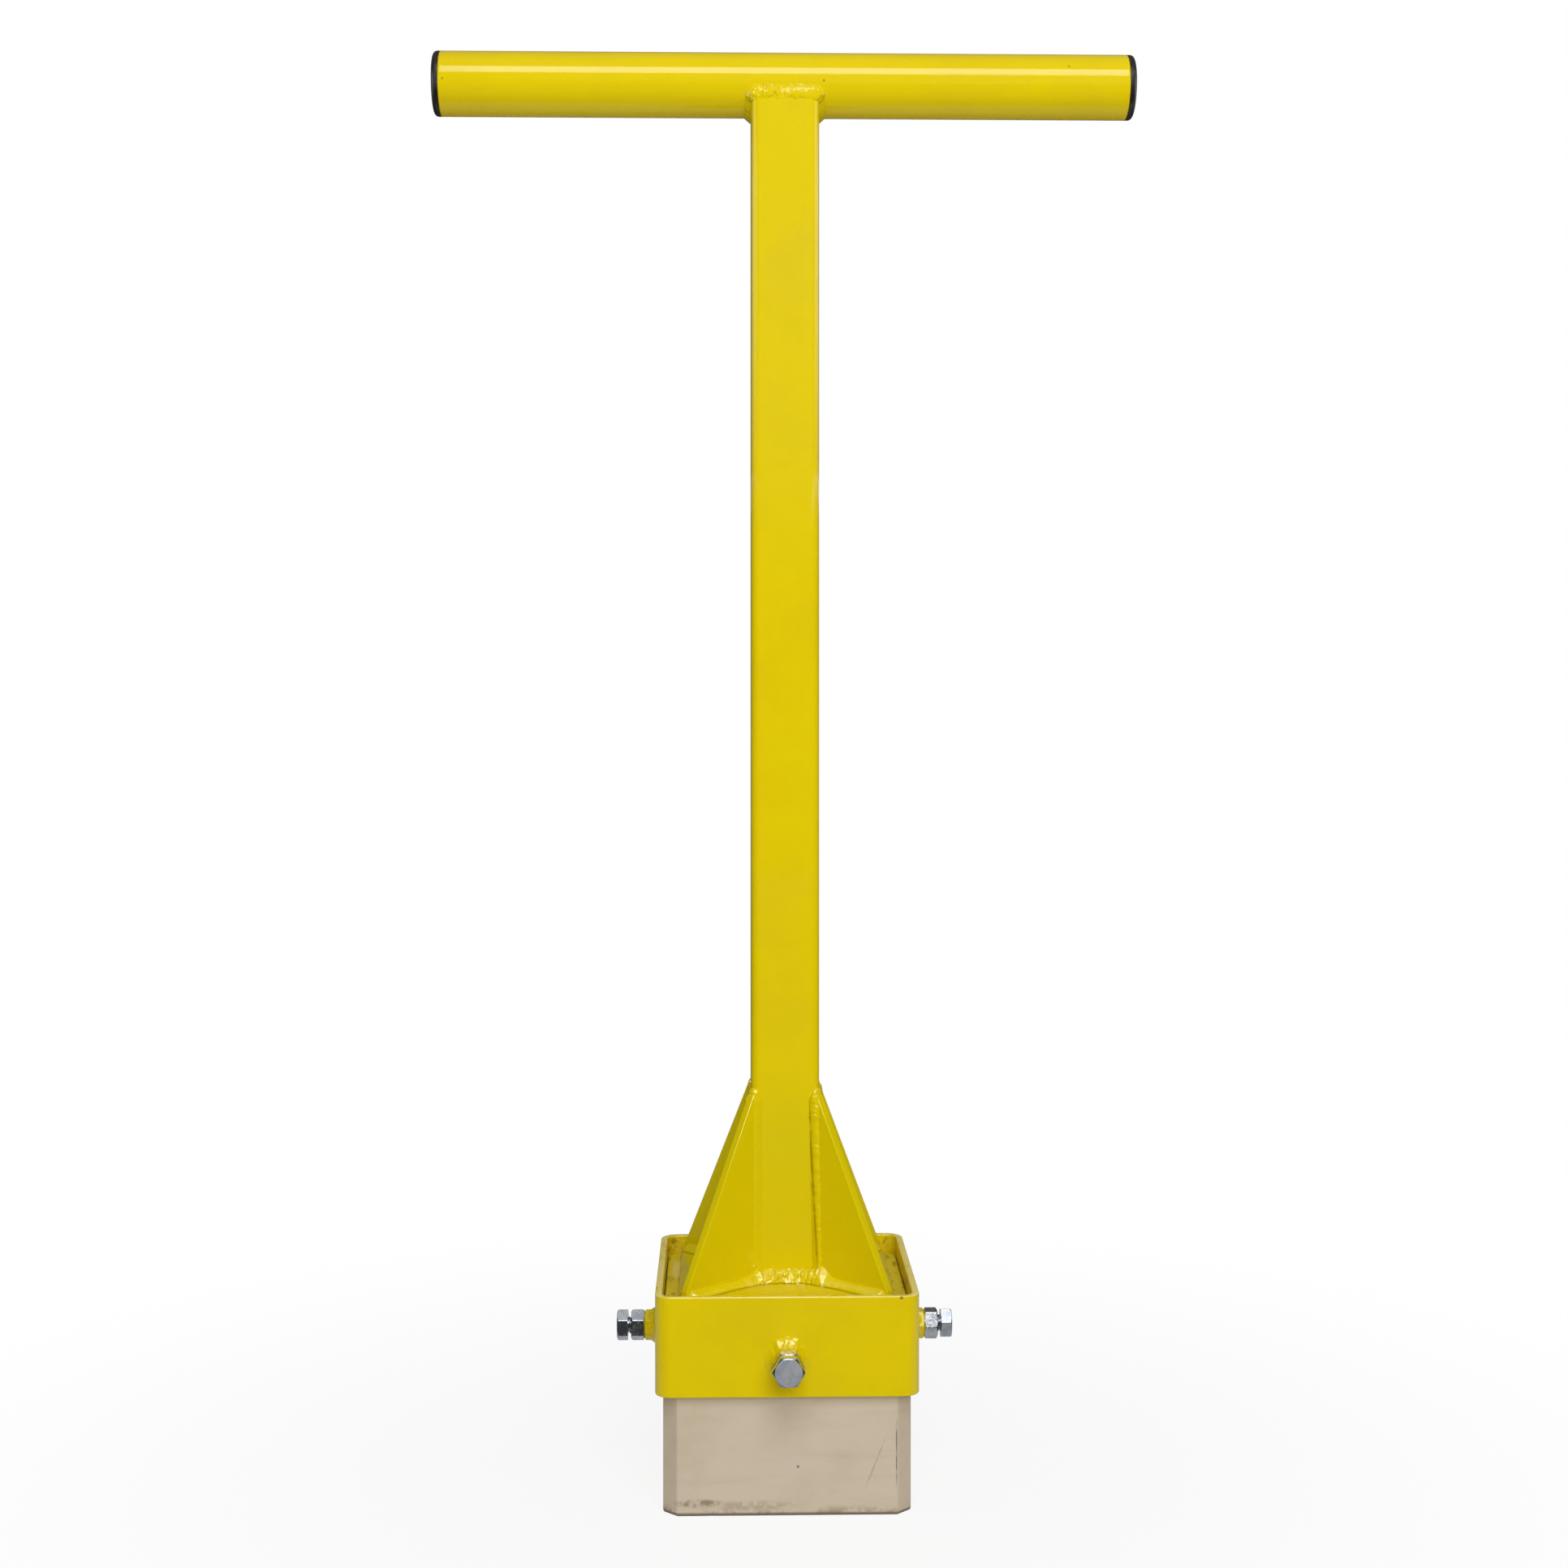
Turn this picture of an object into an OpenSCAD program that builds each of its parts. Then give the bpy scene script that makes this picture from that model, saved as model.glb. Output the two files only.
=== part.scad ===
// Hand tamper: a welded steel T-frame that clamps a replaceable tamping block
// Millimetres, +Z up, origin at the middle of the block's sole, handle along X

/* [Tamping block] */
// Width and depth of the square block
block_w = 141; // [120:1:180]
// Height of the block from sole to top
block_h = 115; // [95:1:150]
// Chamfer on the block's four upright edges
block_chamfer = 8; // [4:0.5:14]

/* [Collar] */
// Gap between the block and each wall of the collar
block_clearance = 0.5; // [0.3:0.1:1.5]
// Wall thickness of the collar
collar_wall = 4; // [3:0.5:6]
// Height of the collar
collar_h = 57; // [50:1:75]
// Outer corner radius of the collar
collar_corner_r = 10; // [7:0.5:14]

/* [Top plate] */
// Thickness of the plate that the block bears on
plate_t = 5; // [4:0.5:10]
// Depth of the plate's top below the collar's rim
plate_recess = 5.5; // [5:0.5:9]
// Width of the open slot between the plate and each side wall
side_slot = 9; // [7:0.5:12]

/* [Shaft] */
// Width of the square shaft tube
shaft_w = 40; // [36:1:46]
// Wall thickness of the shaft tube
shaft_wall = 3; // [2:0.5:4]
// Outer corner radius of the shaft tube
shaft_corner_r = 5; // [4:0.5:7]
// Drop from the handle's axis to the square-cut end of the shaft
shaft_cut = 9; // [7:0.5:11]
// Gap left where one welded piece is fitted against another's curve
fit_gap = 0.1; // [0.05:0.05:0.3]

/* [Handle] */
// Height of the handle's axis above the sole
grip_h = 825; // [700:5:1000]
// Outer diameter of the handle tube
handle_d = 38; // [35:1:42]
// Wall thickness of the handle tube
handle_wall = 2.5; // [2:0.5:4]
// Length of the handle tube
handle_len = 406; // [300:2:600]

/* [End caps] */
// Thickness of the cap's flange
cap_flange = 4; // [3:0.5:7]
// Rounding of the flange's outer edge
cap_round = 2.5; // [1:0.5:2.5]
// Length of the plug inside the tube
cap_plug = 16; // [14:1:30]
// Wall thickness of the hollow plug
cap_wall = 2; // [1.5:0.5:3]
// Number of gripping ribs round the plug
cap_ribs = 3; // [2:1:4]
// Height of a rib above the plug
cap_rib_h = 1.4; // [0.8:0.2:2]
// Gap between a rib and the tube's bore
cap_fit = 0.1; // [0.05:0.05:0.2]

/* [Gussets] */
// Thickness of a gusset
gusset_t = 5; // [4:0.5:8]
// Height of a gusset above the top plate
gusset_h = 110; // [70:1:160]
// Blunt width at the top of a gusset
gusset_nose = 2; // [1:0.5:6]
// Blunt height at the outer end of a gusset
gusset_toe = 4; // [2:0.5:8]
// Distance from a gusset's outer corner to the plate's side edge
gusset_margin = 1.5; // [0.5:0.5:5]

/* [Clamp bolts] */
// Thread diameter of a clamp bolt
bolt_d = 10; // [8:1:11]
// Height of the bolts above the collar's lower edge
bolt_rise = 21; // [19:1:26]
// Size across the flats of bolt heads and nuts
hex_af = 16; // [15:0.5:18]
// Height of a bolt head
head_h = 6.4; // [5:0.2:8]
// Height of a nut that is welded to the collar
weld_nut_h = 8; // [7:0.5:12]
// Height of a lock nut
lock_nut_h = 8; // [5:0.5:10]
// Bare thread between a lock nut and its bolt head
lock_gap = 2; // [1:0.5:6]
// Gap between a bolt and the thread of its nuts
thread_clearance = 0.05; // [0.02:0.01:0.1]
// Gap between a bolt and its hole in the collar
hole_clearance = 0.5; // [0.25:0.25:1]
// Chamfer on a bolt's tip
tip_chamfer = 1; // [0.5:0.25:2]

/* [Welds] */
// Leg of the fillet round the foot of the shaft and gussets
foot_weld = 7; // [5:0.5:8]
// Leg of the upright bead along a gusset, at the shaft's corner
upright_weld = 6; // [4:0.5:8]
// Width of an upright bead on the flat of the shaft
upright_lap = 1; // [0.5:0.5:2]
// Leg of the fillet between the top plate and the collar
seam_weld = 4; // [3:0.5:4.5]
// Spread of the bead round a welded nut, past the nut's corners
nut_weld = 4.8; // [3:0.2:6]
// Width of that bead at its top, past the nut's flats
nut_weld_lip = 0.5; // [0.2:0.1:1]
// Height of the bead round a welded nut
nut_weld_h = 5.5; // [3:0.5:6]
// Radius of the bead across the front and back of the handle joint
saddle_bead_r = 4.5; // [4:0.5:6]
// Leg of the fillet at the sides of the handle joint
saddle_weld = 4; // [3:0.5:6]

/* [Hidden] */
$fn = 96;

paint = [0.86, 0.75, 0.02];
bead_paint = [0.80, 0.69, 0.02];
zinc = [0.62, 0.64, 0.66];
plug_black = [0.13, 0.12, 0.11];
block_cream = [0.79, 0.73, 0.63];

// Directions of the four sides, as turns about Z from +X
right_side = 0;
back_side = 90;
left_side = 180;
front_side = 270;

// Smallest inner corner radius of a square tube
least_corner_r = 0.5;

// Collar and plate
collar_in = block_w + 2 * block_clearance;
collar_w = collar_in + 2 * collar_wall;
collar_in_r = max(collar_corner_r - collar_wall, least_corner_r);
plate_w = collar_in - 2 * side_slot;
plate_top = block_h + plate_t;
rim = plate_top + plate_recess;
collar_low = rim - collar_h;

// Shaft and handle
shaft_in = shaft_w - 2 * shaft_wall;
shaft_in_r = max(shaft_corner_r - shaft_wall, least_corner_r);
shaft_top = grip_h - shaft_cut;
handle_r = handle_d / 2;
bore_r = handle_r - handle_wall;

// Gussets stand on the diagonals, from the shaft's rounded corner outwards
corner_centre = (shaft_w / 2 - shaft_corner_r) * sqrt(2);
gusset_in = corner_centre + shaft_corner_r + fit_gap;
gusset_out = (plate_w / 2 - gusset_margin) * sqrt(2) - gusset_t / 2;

// Clamp bolts
bolt_z = collar_low + bolt_rise;
bolt_r = bolt_d / 2;
hex_ac = hex_af / cos(30);
hex_face_share = 0.95;
hex_face_r = hex_face_share * hex_af / 2;
head_seat = weld_nut_h + lock_nut_h + lock_gap;
shank = head_seat + (collar_w - block_w) / 2;

// Turn of each hexagon about its bolt: at 0 a corner points up
left_weld_turn = 0;
right_weld_turn = 30;
front_weld_turn = 30;
back_weld_turn = 0;
left_lock_turn = 0;
right_lock_turn = 30;
front_lock_turn = 30;
back_lock_turn = 20;
left_head_turn = 0;
right_head_turn = 15;
front_head_turn = 30;
back_head_turn = 5;

// A length that reaches past everything it cuts, and a short run past a face
far = 2 * grip_h;
overrun = 1;

// Flat square with rounded corners
module rounded_square(w, r) {
    square([w, w - 2 * r], center = true);
    square([w - 2 * r, w], center = true);
    for (x = [-1, 1], y = [-1, 1])
        translate([x * (w / 2 - r), y * (w / 2 - r)])
            circle(r = r);
}

// Upright square tube with rounded corners, from z = 0
module square_tube(w, r, w_in, r_in, h) {
    linear_extrude(h)
        difference() {
            rounded_square(w, r);
            rounded_square(w_in, r_in);
        }
}

// Round bar along X through the handle's axis
module handle_bar(r, length) {
    translate([0, 0, grip_h])
        rotate([0, 90, 0])
            cylinder(r = r, h = length, center = true);
}

// The outside of the shaft as a solid bar, up to its square-cut end
module shaft_envelope() {
    translate([0, 0, block_h])
        linear_extrude(shaft_top - block_h)
            rounded_square(shaft_w, shaft_corner_r);
}

// Carries a fastener, drawn along +Z, to one side of the collar, pointing outwards
module at_side(side) {
    rotate([0, 0, side])
        translate([collar_w / 2, 0, bolt_z])
            rotate([0, 90, 0])
                children();
}

// Hexagon from z = 0 whose corners are rounded off by a shallow cone, on top or on both faces
module hex_blank(h, turn, both_faces) {
    slope = tan(30);
    reach = hex_ac / 2 + overrun;
    drop = (reach - hex_face_r) * slope;
    foot = both_faces ? [[0, 0], [hex_face_r, 0], [reach, drop]] : [[0, 0], [reach, 0]];
    intersection() {
        rotate(turn)
            cylinder(d = hex_ac, h = h, $fn = 6);
        rotate_extrude()
            polygon(concat(foot, [[reach, h - drop], [hex_face_r, h], [0, h]]));
    }
}

// Block of the tamper: a square bar with chamfered upright edges
module tamping_block() {
    color(block_cream)
        linear_extrude(block_h)
            intersection() {
                square(block_w, center = true);
                rotate(45)
                    square((block_w - block_chamfer) * sqrt(2), center = true);
            }
}

// Collar: a slice of square tube with a clearance hole in each wall
module collar() {
    color(paint)
        difference() {
            translate([0, 0, collar_low])
                square_tube(collar_w, collar_corner_r, collar_in, collar_in_r, collar_h);
            for (turn = [0, 90])
                rotate([0, 0, turn])
                    translate([0, 0, bolt_z])
                        rotate([0, 90, 0])
                            cylinder(r = bolt_r + hole_clearance, h = far, center = true);
        }
}

// Plate set into the collar, open at the left and right
module top_plate() {
    color(paint)
        translate([0, 0, block_h])
            linear_extrude(plate_t)
                intersection() {
                    rounded_square(collar_in, collar_in_r);
                    square([plate_w, 2 * collar_w], center = true);
                }
}

// Shaft: square tube, cut square at the top and coped to sit round the handle
module shaft_tube() {
    color(paint)
        difference() {
            translate([0, 0, plate_top])
                square_tube(shaft_w, shaft_corner_r, shaft_in, shaft_in_r, shaft_top - plate_top);
            handle_bar(handle_r + fit_gap, 2 * shaft_w);
        }
}

// Handle: round tube across the top
module handle_tube() {
    color(paint)
        difference() {
            handle_bar(handle_r, handle_len);
            handle_bar(bore_r, 2 * handle_len);
        }
}

// End cap: rounded flange on the tube's end and a hollow ribbed plug inside it
module end_cap(side) {
    rib_r = bore_r - cap_fit;
    plug_r = rib_r - cap_rib_h;
    rib_pitch = cap_plug / (cap_ribs + 1);
    rib_half = rib_pitch / 4;
    color(plug_black)
        rotate([0, 0, side])
            translate([handle_len / 2, 0, grip_h])
                rotate([0, 90, 0])
                    rotate_extrude() {
                        square([handle_r - cap_round, cap_flange]);
                        square([handle_r, cap_flange - cap_round]);
                        translate([handle_r - cap_round, cap_flange - cap_round])
                            intersection() {
                                circle(r = cap_round);
                                square(cap_round);
                            }
                        translate([plug_r - cap_wall, -cap_plug])
                            square([cap_wall, cap_plug + cap_flange / 2]);
                        for (k = [1:cap_ribs])
                            translate([plug_r, -k * rib_pitch])
                                polygon([[-cap_wall / 2, -rib_half], [0, -rib_half],
                                         [cap_rib_h, 0], [cap_rib_h, rib_half],
                                         [-cap_wall / 2, rib_half]]);
                    }
}

// Gusset: triangular plate on a diagonal, with a blunt nose and toe
module gusset(turn) {
    color(paint)
        rotate([0, 0, turn])
            translate([0, gusset_t / 2, plate_top])
                rotate([90, 0, 0])
                    linear_extrude(gusset_t)
                        polygon([[gusset_in, 0], [gusset_out, 0], [gusset_out, gusset_toe],
                                 [gusset_in + gusset_nose, gusset_h], [gusset_in, gusset_h]]);
}

// Nut welded to the collar's face
module weld_nut(side, turn) {
    color(paint)
        at_side(side)
            difference() {
                hex_blank(weld_nut_h, turn, false);
                cylinder(r = bolt_r + thread_clearance, h = far, center = true);
            }
}

// Lock nut run up against the welded nut
module lock_nut(side, turn) {
    color(zinc)
        at_side(side)
            translate([0, 0, weld_nut_h])
                difference() {
                    hex_blank(lock_nut_h, turn, true);
                    cylinder(r = bolt_r + thread_clearance, h = far, center = true);
                }
}

// Clamp bolt: hexagon head and a shank whose chamfered tip bears on the block
module clamp_bolt(side, turn) {
    color(zinc)
        at_side(side)
            translate([0, 0, head_seat]) {
                hex_blank(head_h, turn, false);
                rotate_extrude()
                    polygon([[0, head_h / 2], [bolt_r, head_h / 2], [bolt_r, tip_chamfer - shank],
                             [bolt_r - tip_chamfer, -shank], [0, -shank]]);
            }
}

// Weld that seats the coped shaft on the handle: a bead across the front and back,
// and a fillet that follows the cope down each side
module handle_weld() {
    bead_y = (shaft_w - shaft_wall) / 2;
    bead_z = shaft_top + shaft_wall;
    side_r = handle_r + saddle_weld;
    end_r = handle_r - overrun;
    color(bead_paint)
        difference() {
            union() {
                for (y = [-1, 1])
                    translate([0, y * bead_y, bead_z])
                        rotate([0, 90, 0])
                            cylinder(r = saddle_bead_r, h = shaft_w + saddle_weld / 2, center = true);
                intersection() {
                    union() {
                        handle_bar(side_r, shaft_w);
                        for (side = [left_side, right_side])
                            rotate([0, 0, side])
                                translate([shaft_w / 2, 0, grip_h])
                                    rotate([0, 90, 0])
                                        cylinder(r1 = side_r, r2 = end_r, h = saddle_weld + overrun);
                    }
                    translate([0, 0, bead_z - far / 2])
                        cube([far, shaft_w + saddle_weld, far], center = true);
                }
            }
            shaft_envelope();
            handle_bar(handle_r, far);
        }
}

// Triangular fillet along X, from z = 0, with its toe towards +Y
module fillet_bar(leg, length) {
    rotate([90, 0, 90])
        linear_extrude(length)
            polygon([[0, 0], [leg, 0], [0, leg]]);
}

// Weld of one side of the foot: a fillet along the shaft's face and the two gussets that flank it,
// with an upright bead where each gusset meets the shaft's corner
module foot_weld_quarter(side) {
    lap = (shaft_corner_r - upright_lap) / sqrt(2);
    rise = (shaft_corner_r + upright_lap) / sqrt(2);
    reach = gusset_out + collar_w;
    color(bead_paint)
        intersection() {
            rotate([0, 0, side])
                difference() {
                    intersection() {
                        union() {
                            translate([shaft_w / 2, collar_w / 2, plate_top])
                                rotate([0, 0, -90])
                                    fillet_bar(foot_weld, collar_w);
                            for (flank = [-1, 1])
                                rotate([0, 0, 45 * flank])
                                    mirror([0, flank > 0 ? 1 : 0, 0])
                                        translate([0, gusset_t / 2, plate_top]) {
                                            fillet_bar(foot_weld, gusset_out);
                                            linear_extrude(gusset_h)
                                                polygon([[0, 0], [gusset_in + upright_weld, 0],
                                                         [corner_centre + lap, rise - gusset_t / 2],
                                                         [0, rise - gusset_t / 2]]);
                                        }
                        }
                        linear_extrude(far)
                            polygon([[0, 0], [reach, -reach], [reach, reach]]);
                    }
                    shaft_envelope();
                    for (turn = [-45, 45])
                        rotate([0, 0, turn])
                            translate([0, -gusset_t / 2, 0])
                                cube([far, gusset_t, far]);
                }
            translate([0, 0, far / 2])
                cube([plate_w, collar_in - 2 * seam_weld, far], center = true);
        }
}

// Fillets that hold the plate to the collar's front and back walls
module seam_welds() {
    color(bead_paint)
        for (turn = [0, 180])
            rotate([0, 0, turn])
                translate([plate_w / 2, collar_in / 2, plate_top])
                    rotate([0, 0, 180])
                        fillet_bar(seam_weld, plate_w);
}

// Cone-shaped bead round each welded nut
module nut_welds() {
    color(bead_paint)
        for (place = [[left_side, left_weld_turn], [right_side, right_weld_turn],
                      [front_side, front_weld_turn], [back_side, back_weld_turn]])
            at_side(place[0])
                difference() {
                    cylinder(r1 = hex_ac / 2 + nut_weld, r2 = hex_af / 2 + nut_weld_lip, h = nut_weld_h);
                    rotate(place[1])
                        cylinder(d = hex_ac, h = far, center = true, $fn = 6);
                }
}

tamping_block();
collar();
top_plate();
shaft_tube();
handle_tube();
end_cap(left_side);  // left_end_cap
end_cap(right_side);  // right_end_cap
gusset(225);  // front_left_gusset
gusset(315);  // front_right_gusset
gusset(135);  // back_left_gusset
gusset(45);  // back_right_gusset
weld_nut(left_side, left_weld_turn);  // left_weld_nut
weld_nut(right_side, right_weld_turn);  // right_weld_nut
weld_nut(front_side, front_weld_turn);  // front_weld_nut
weld_nut(back_side, back_weld_turn);  // back_weld_nut
lock_nut(left_side, left_lock_turn);  // left_lock_nut
lock_nut(right_side, right_lock_turn);  // right_lock_nut
lock_nut(front_side, front_lock_turn);  // front_lock_nut
lock_nut(back_side, back_lock_turn);  // back_lock_nut
clamp_bolt(left_side, left_head_turn);  // left_clamp_bolt
clamp_bolt(right_side, right_head_turn);  // right_clamp_bolt
clamp_bolt(front_side, front_head_turn);  // front_clamp_bolt
clamp_bolt(back_side, back_head_turn);  // back_clamp_bolt
handle_weld();
foot_weld_quarter(left_side);  // left_foot_weld
foot_weld_quarter(right_side);  // right_foot_weld
foot_weld_quarter(front_side);  // front_foot_weld
foot_weld_quarter(back_side);  // back_foot_weld
seam_welds();
nut_welds();
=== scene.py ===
"""Dresses the hand tamper: a glossy yellow welded frame, zinc clamp bolts and a scuffed cream block.

Every piece is a surface worked out on a grid of two parameters, in metres, in the CAD model's own frame:
the block stands on z = 0, the shaft runs up Z, the handle lies along X and the front faces -Y.
"""
import math

import bmesh
import bpy
import numpy as np
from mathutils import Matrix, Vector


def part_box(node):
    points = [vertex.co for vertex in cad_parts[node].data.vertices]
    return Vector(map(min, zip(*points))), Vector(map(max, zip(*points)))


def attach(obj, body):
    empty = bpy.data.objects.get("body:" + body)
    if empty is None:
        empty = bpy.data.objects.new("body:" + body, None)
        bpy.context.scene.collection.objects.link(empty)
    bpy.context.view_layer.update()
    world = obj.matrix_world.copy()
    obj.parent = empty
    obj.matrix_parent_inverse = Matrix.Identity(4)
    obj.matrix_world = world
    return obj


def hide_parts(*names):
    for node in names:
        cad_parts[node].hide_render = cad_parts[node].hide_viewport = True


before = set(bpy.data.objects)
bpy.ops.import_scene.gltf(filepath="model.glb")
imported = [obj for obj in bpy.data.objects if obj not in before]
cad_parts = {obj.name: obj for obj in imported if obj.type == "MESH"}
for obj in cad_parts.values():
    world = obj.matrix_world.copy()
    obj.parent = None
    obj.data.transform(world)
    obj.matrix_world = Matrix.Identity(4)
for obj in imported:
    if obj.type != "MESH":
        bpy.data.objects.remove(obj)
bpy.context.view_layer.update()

# Units and directions
MM = 0.001
UP = np.array([0.0, 0.0, 1.0])
OUTWARD = {
    "left": np.array([-1.0, 0.0, 0.0]),
    "right": np.array([1.0, 0.0, 0.0]),
    "front": np.array([0.0, -1.0, 0.0]),
    "back": np.array([0.0, 1.0, 0.0]),
}

# Places taken from the CAD nodes
_, block_high = (np.array(corner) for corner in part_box("tamping_block"))
collar_low, collar_high = (np.array(corner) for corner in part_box("collar"))
plate_low, plate_high = (np.array(corner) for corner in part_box("top_plate"))
_, shaft_high = (np.array(corner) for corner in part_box("shaft_tube"))
handle_low, handle_high = (np.array(corner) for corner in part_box("handle_tube"))
cap_low, cap_high = (np.array(corner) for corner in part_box("right_end_cap"))
_, gusset_high = (np.array(corner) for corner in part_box("back_right_gusset"))
nut_low, nut_high = (np.array(corner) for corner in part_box("right_weld_nut"))
lock_low, lock_high = (np.array(corner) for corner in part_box("right_lock_nut"))
bolt_low, bolt_high = (np.array(corner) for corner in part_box("right_clamp_bolt"))

# Sizes worked out from those places
shaft_half = shaft_high[0]
handle_radius = (handle_high[2] - handle_low[2]) / 2
handle_axis = (handle_high[2] + handle_low[2]) / 2
collar_half = collar_high[0]
block_front = -block_high[1]
plate_top = plate_high[2]
gusset_height = gusset_high[2] - plate_top
gusset_end = (gusset_high[0] + gusset_high[1]) / math.sqrt(2)
bolt_axis = (nut_low[2] + nut_high[2]) / 2

# Sizes that the boxes don't give
SHAFT_CORNER = 5.0 * MM
SHAFT_WALL = 3.0 * MM
COPE_RADIUS = handle_radius + 0.1 * MM
HANDLE_WALL = 2.5 * MM
COLLAR_CORNER = 10.0 * MM
COLLAR_WALL = 4.0 * MM
COLLAR_HOLE = 5.5 * MM
GUSSET_THICK = 5.0 * MM
GUSSET_NOSE = 4.0 * MM
GUSSET_TOP = 2.0 * MM
BLOCK_CHAMFER = 8.0 * MM
HEX_FLATS = 16.0 * MM
HEX_FACE = 0.95 * HEX_FLATS / 2
HEX_POWER = 90
HEX_CHAMFER = math.radians(30)
NUT_BORE = 5.05 * MM
THREAD_RADIUS = 5.0 * MM
THREAD_DEPTH = 0.92 * MM
THREAD_PITCH = 1.5 * MM
HEAD_HEIGHT = 6.4 * MM
CAP_PLUG_RIBS = 3

# Half width inside the collar, and how far the shaft's rounded corners reach from its axis
COLLAR_INNER = collar_half - COLLAR_WALL
SHAFT_CORNER_REACH = math.sqrt(2) * (shaft_half - SHAFT_CORNER) + SHAFT_CORNER

# How each hexagon is turned about its bolt, in degrees from corner up
WELD_NUT_TURN = {"left": 0, "right": 30, "front": 30, "back": 0}
LOCK_NUT_TURN = {"left": 0, "right": 33.5, "front": 30, "back": 20}
HEAD_TURN = {"left": 0, "right": 15, "front": 30, "back": 5}

# Seeds of the welds' and the block's unevenness
FOOT_WELD_SEED = 20
SEAM_WELD_SEED = 61
NUT_WELD_SEED = 71
HANDLE_WELD_SEED = 81
BLOCK_WEAR_SEED = 91

# Points nearer than this are one point of a mesh
MERGE_REACH = 0.001 * MM


# Outlines and grids
def even(steps):
    """Fractions that cut a length into equal steps, without its two ends."""
    return np.linspace(0.0, 1.0, steps + 1)[1:-1]


def rounded_outline(corners, radius, arc_steps, straight):
    """Outline of a convex polygon with every corner rounded, and its outward normals.

    An arc of the radius touches both edges of a corner, set back from it by the radius times the
    tangent of half the turn. The stretch to the next arc is cut at the given fractions. Corners run
    anticlockwise.
    """
    corners = np.asarray(corners, float)
    arriving = corners - np.roll(corners, 1, axis=0)
    arriving /= np.linalg.norm(arriving, axis=1, keepdims=True)
    leaving = np.roll(arriving, -1, axis=0)
    crossed = arriving[:, 0] * leaving[:, 1] - arriving[:, 1] * leaving[:, 0]
    turn = np.arctan2(crossed, (arriving * leaving).sum(1))
    inward = np.stack([-arriving[:, 1], arriving[:, 0]], axis=1)
    start = corners - arriving * (radius * np.tan(turn / 2))[:, None]
    centre = start + inward * radius
    angle = (turn[:, None] * np.linspace(0.0, 1.0, arc_steps + 1))[..., None]
    arc_normal = arriving[:, None] * np.sin(angle) - inward[:, None] * np.cos(angle)
    arc = centre[:, None] + radius * arc_normal
    share = np.asarray(straight)[None, :, None]
    run = arc[:, -1:] * (1 - share) + np.roll(arc[:, :1], -1, axis=0) * share
    run_normal = np.broadcast_to(arc_normal[:, -1:], run.shape)
    points = np.concatenate([arc, run], axis=1).reshape(-1, 2)
    normals = np.concatenate([arc_normal, run_normal], axis=1).reshape(-1, 2)
    return points, normals


def square(half_x, half_y):
    """Corners of a rectangle about the origin, anticlockwise."""
    return [(half_x, -half_y), (half_x, half_y), (-half_x, half_y), (-half_x, -half_y)]


def wall_grid(outline, normals, offset, height):
    """Upright wall: each row is the outline moved along its normals by an offset, at a height."""
    offset = np.asarray(offset, float)[:, None, None]
    flat = outline[None] + offset * normals[None]
    height = np.broadcast_to(np.asarray(height, float), flat.shape[:2])
    return np.concatenate([flat, height[..., None]], axis=2)


def round_grid(radius, along, columns):
    """Surface of revolution about local Z: each row is a circle at a distance along the axis."""
    angle = np.linspace(0.0, 2 * np.pi, columns, endpoint=False)
    ring = np.stack([np.cos(angle), np.sin(angle)], axis=1)
    flat = np.asarray(radius, float)[:, None, None] * ring[None]
    along = np.broadcast_to(np.asarray(along, float)[:, None, None], (*flat.shape[:2], 1))
    return np.concatenate([flat, along], axis=2)


def sheet(points, wrap_rows=False, wrap_columns=False, keep=None):
    """Quads between neighbouring points of a grid. A wrapped direction joins its last line to its first.

    Only the quads that the mask keeps are made, where there is one.
    """
    rows, columns = points.shape[:2]
    row, column = np.meshgrid(
        np.arange(rows if wrap_rows else rows - 1),
        np.arange(columns if wrap_columns else columns - 1),
        indexing="ij",
    )
    below = row * columns
    above = (row + 1) % rows * columns
    beside = (column + 1) % columns
    quads = np.stack([below + column, below + beside, above + beside, above + column], axis=-1)
    if keep is not None:
        quads = quads[keep]
    return points.reshape(-1, 3), quads.reshape(-1, 4)


def placed(points, origin, across, along, axis):
    """Local x, y and z of a grid laid along three directions from an origin."""
    return origin + points[..., :1] * across + points[..., 1:2] * along + points[..., 2:] * axis


def at_side(points, side, distance):
    """Grid about local Z set on a collar wall: Z points outwards, X down and Y along the wall."""
    axis = OUTWARD[side]
    origin = axis * distance + UP * bolt_axis
    return placed(points, origin, -UP, np.cross(UP, axis), axis)


def finish_piece(name, sheets, material, body, nodes, crease=40.0):
    """Joins sheets into one closed mesh that points outwards, and puts it in the place of its CAD nodes.

    Points that meet are merged, which closes seams and poles. Edges sharper than the crease stay sharp.
    """
    starts = np.cumsum([0] + [len(points) for points, _ in sheets])
    points = np.concatenate([points for points, _ in sheets])
    faces = np.concatenate([quads + start for (_, quads), start in zip(sheets, starts)])
    mesh = bpy.data.meshes.new(name)
    mesh.from_pydata(points.tolist(), [], faces.tolist())
    work = bmesh.new()
    work.from_mesh(mesh)
    bmesh.ops.remove_doubles(work, verts=work.verts, dist=MERGE_REACH)
    bmesh.ops.recalc_face_normals(work, faces=work.faces)
    work.to_mesh(mesh)
    work.free()
    mesh.shade_smooth()
    mesh.set_sharp_from_angle(angle=math.radians(crease))
    mesh.materials.append(material)
    piece = bpy.data.objects.new(name, mesh)
    bpy.context.scene.collection.objects.link(piece)
    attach(piece, body)
    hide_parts(*nodes)
    return piece


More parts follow.
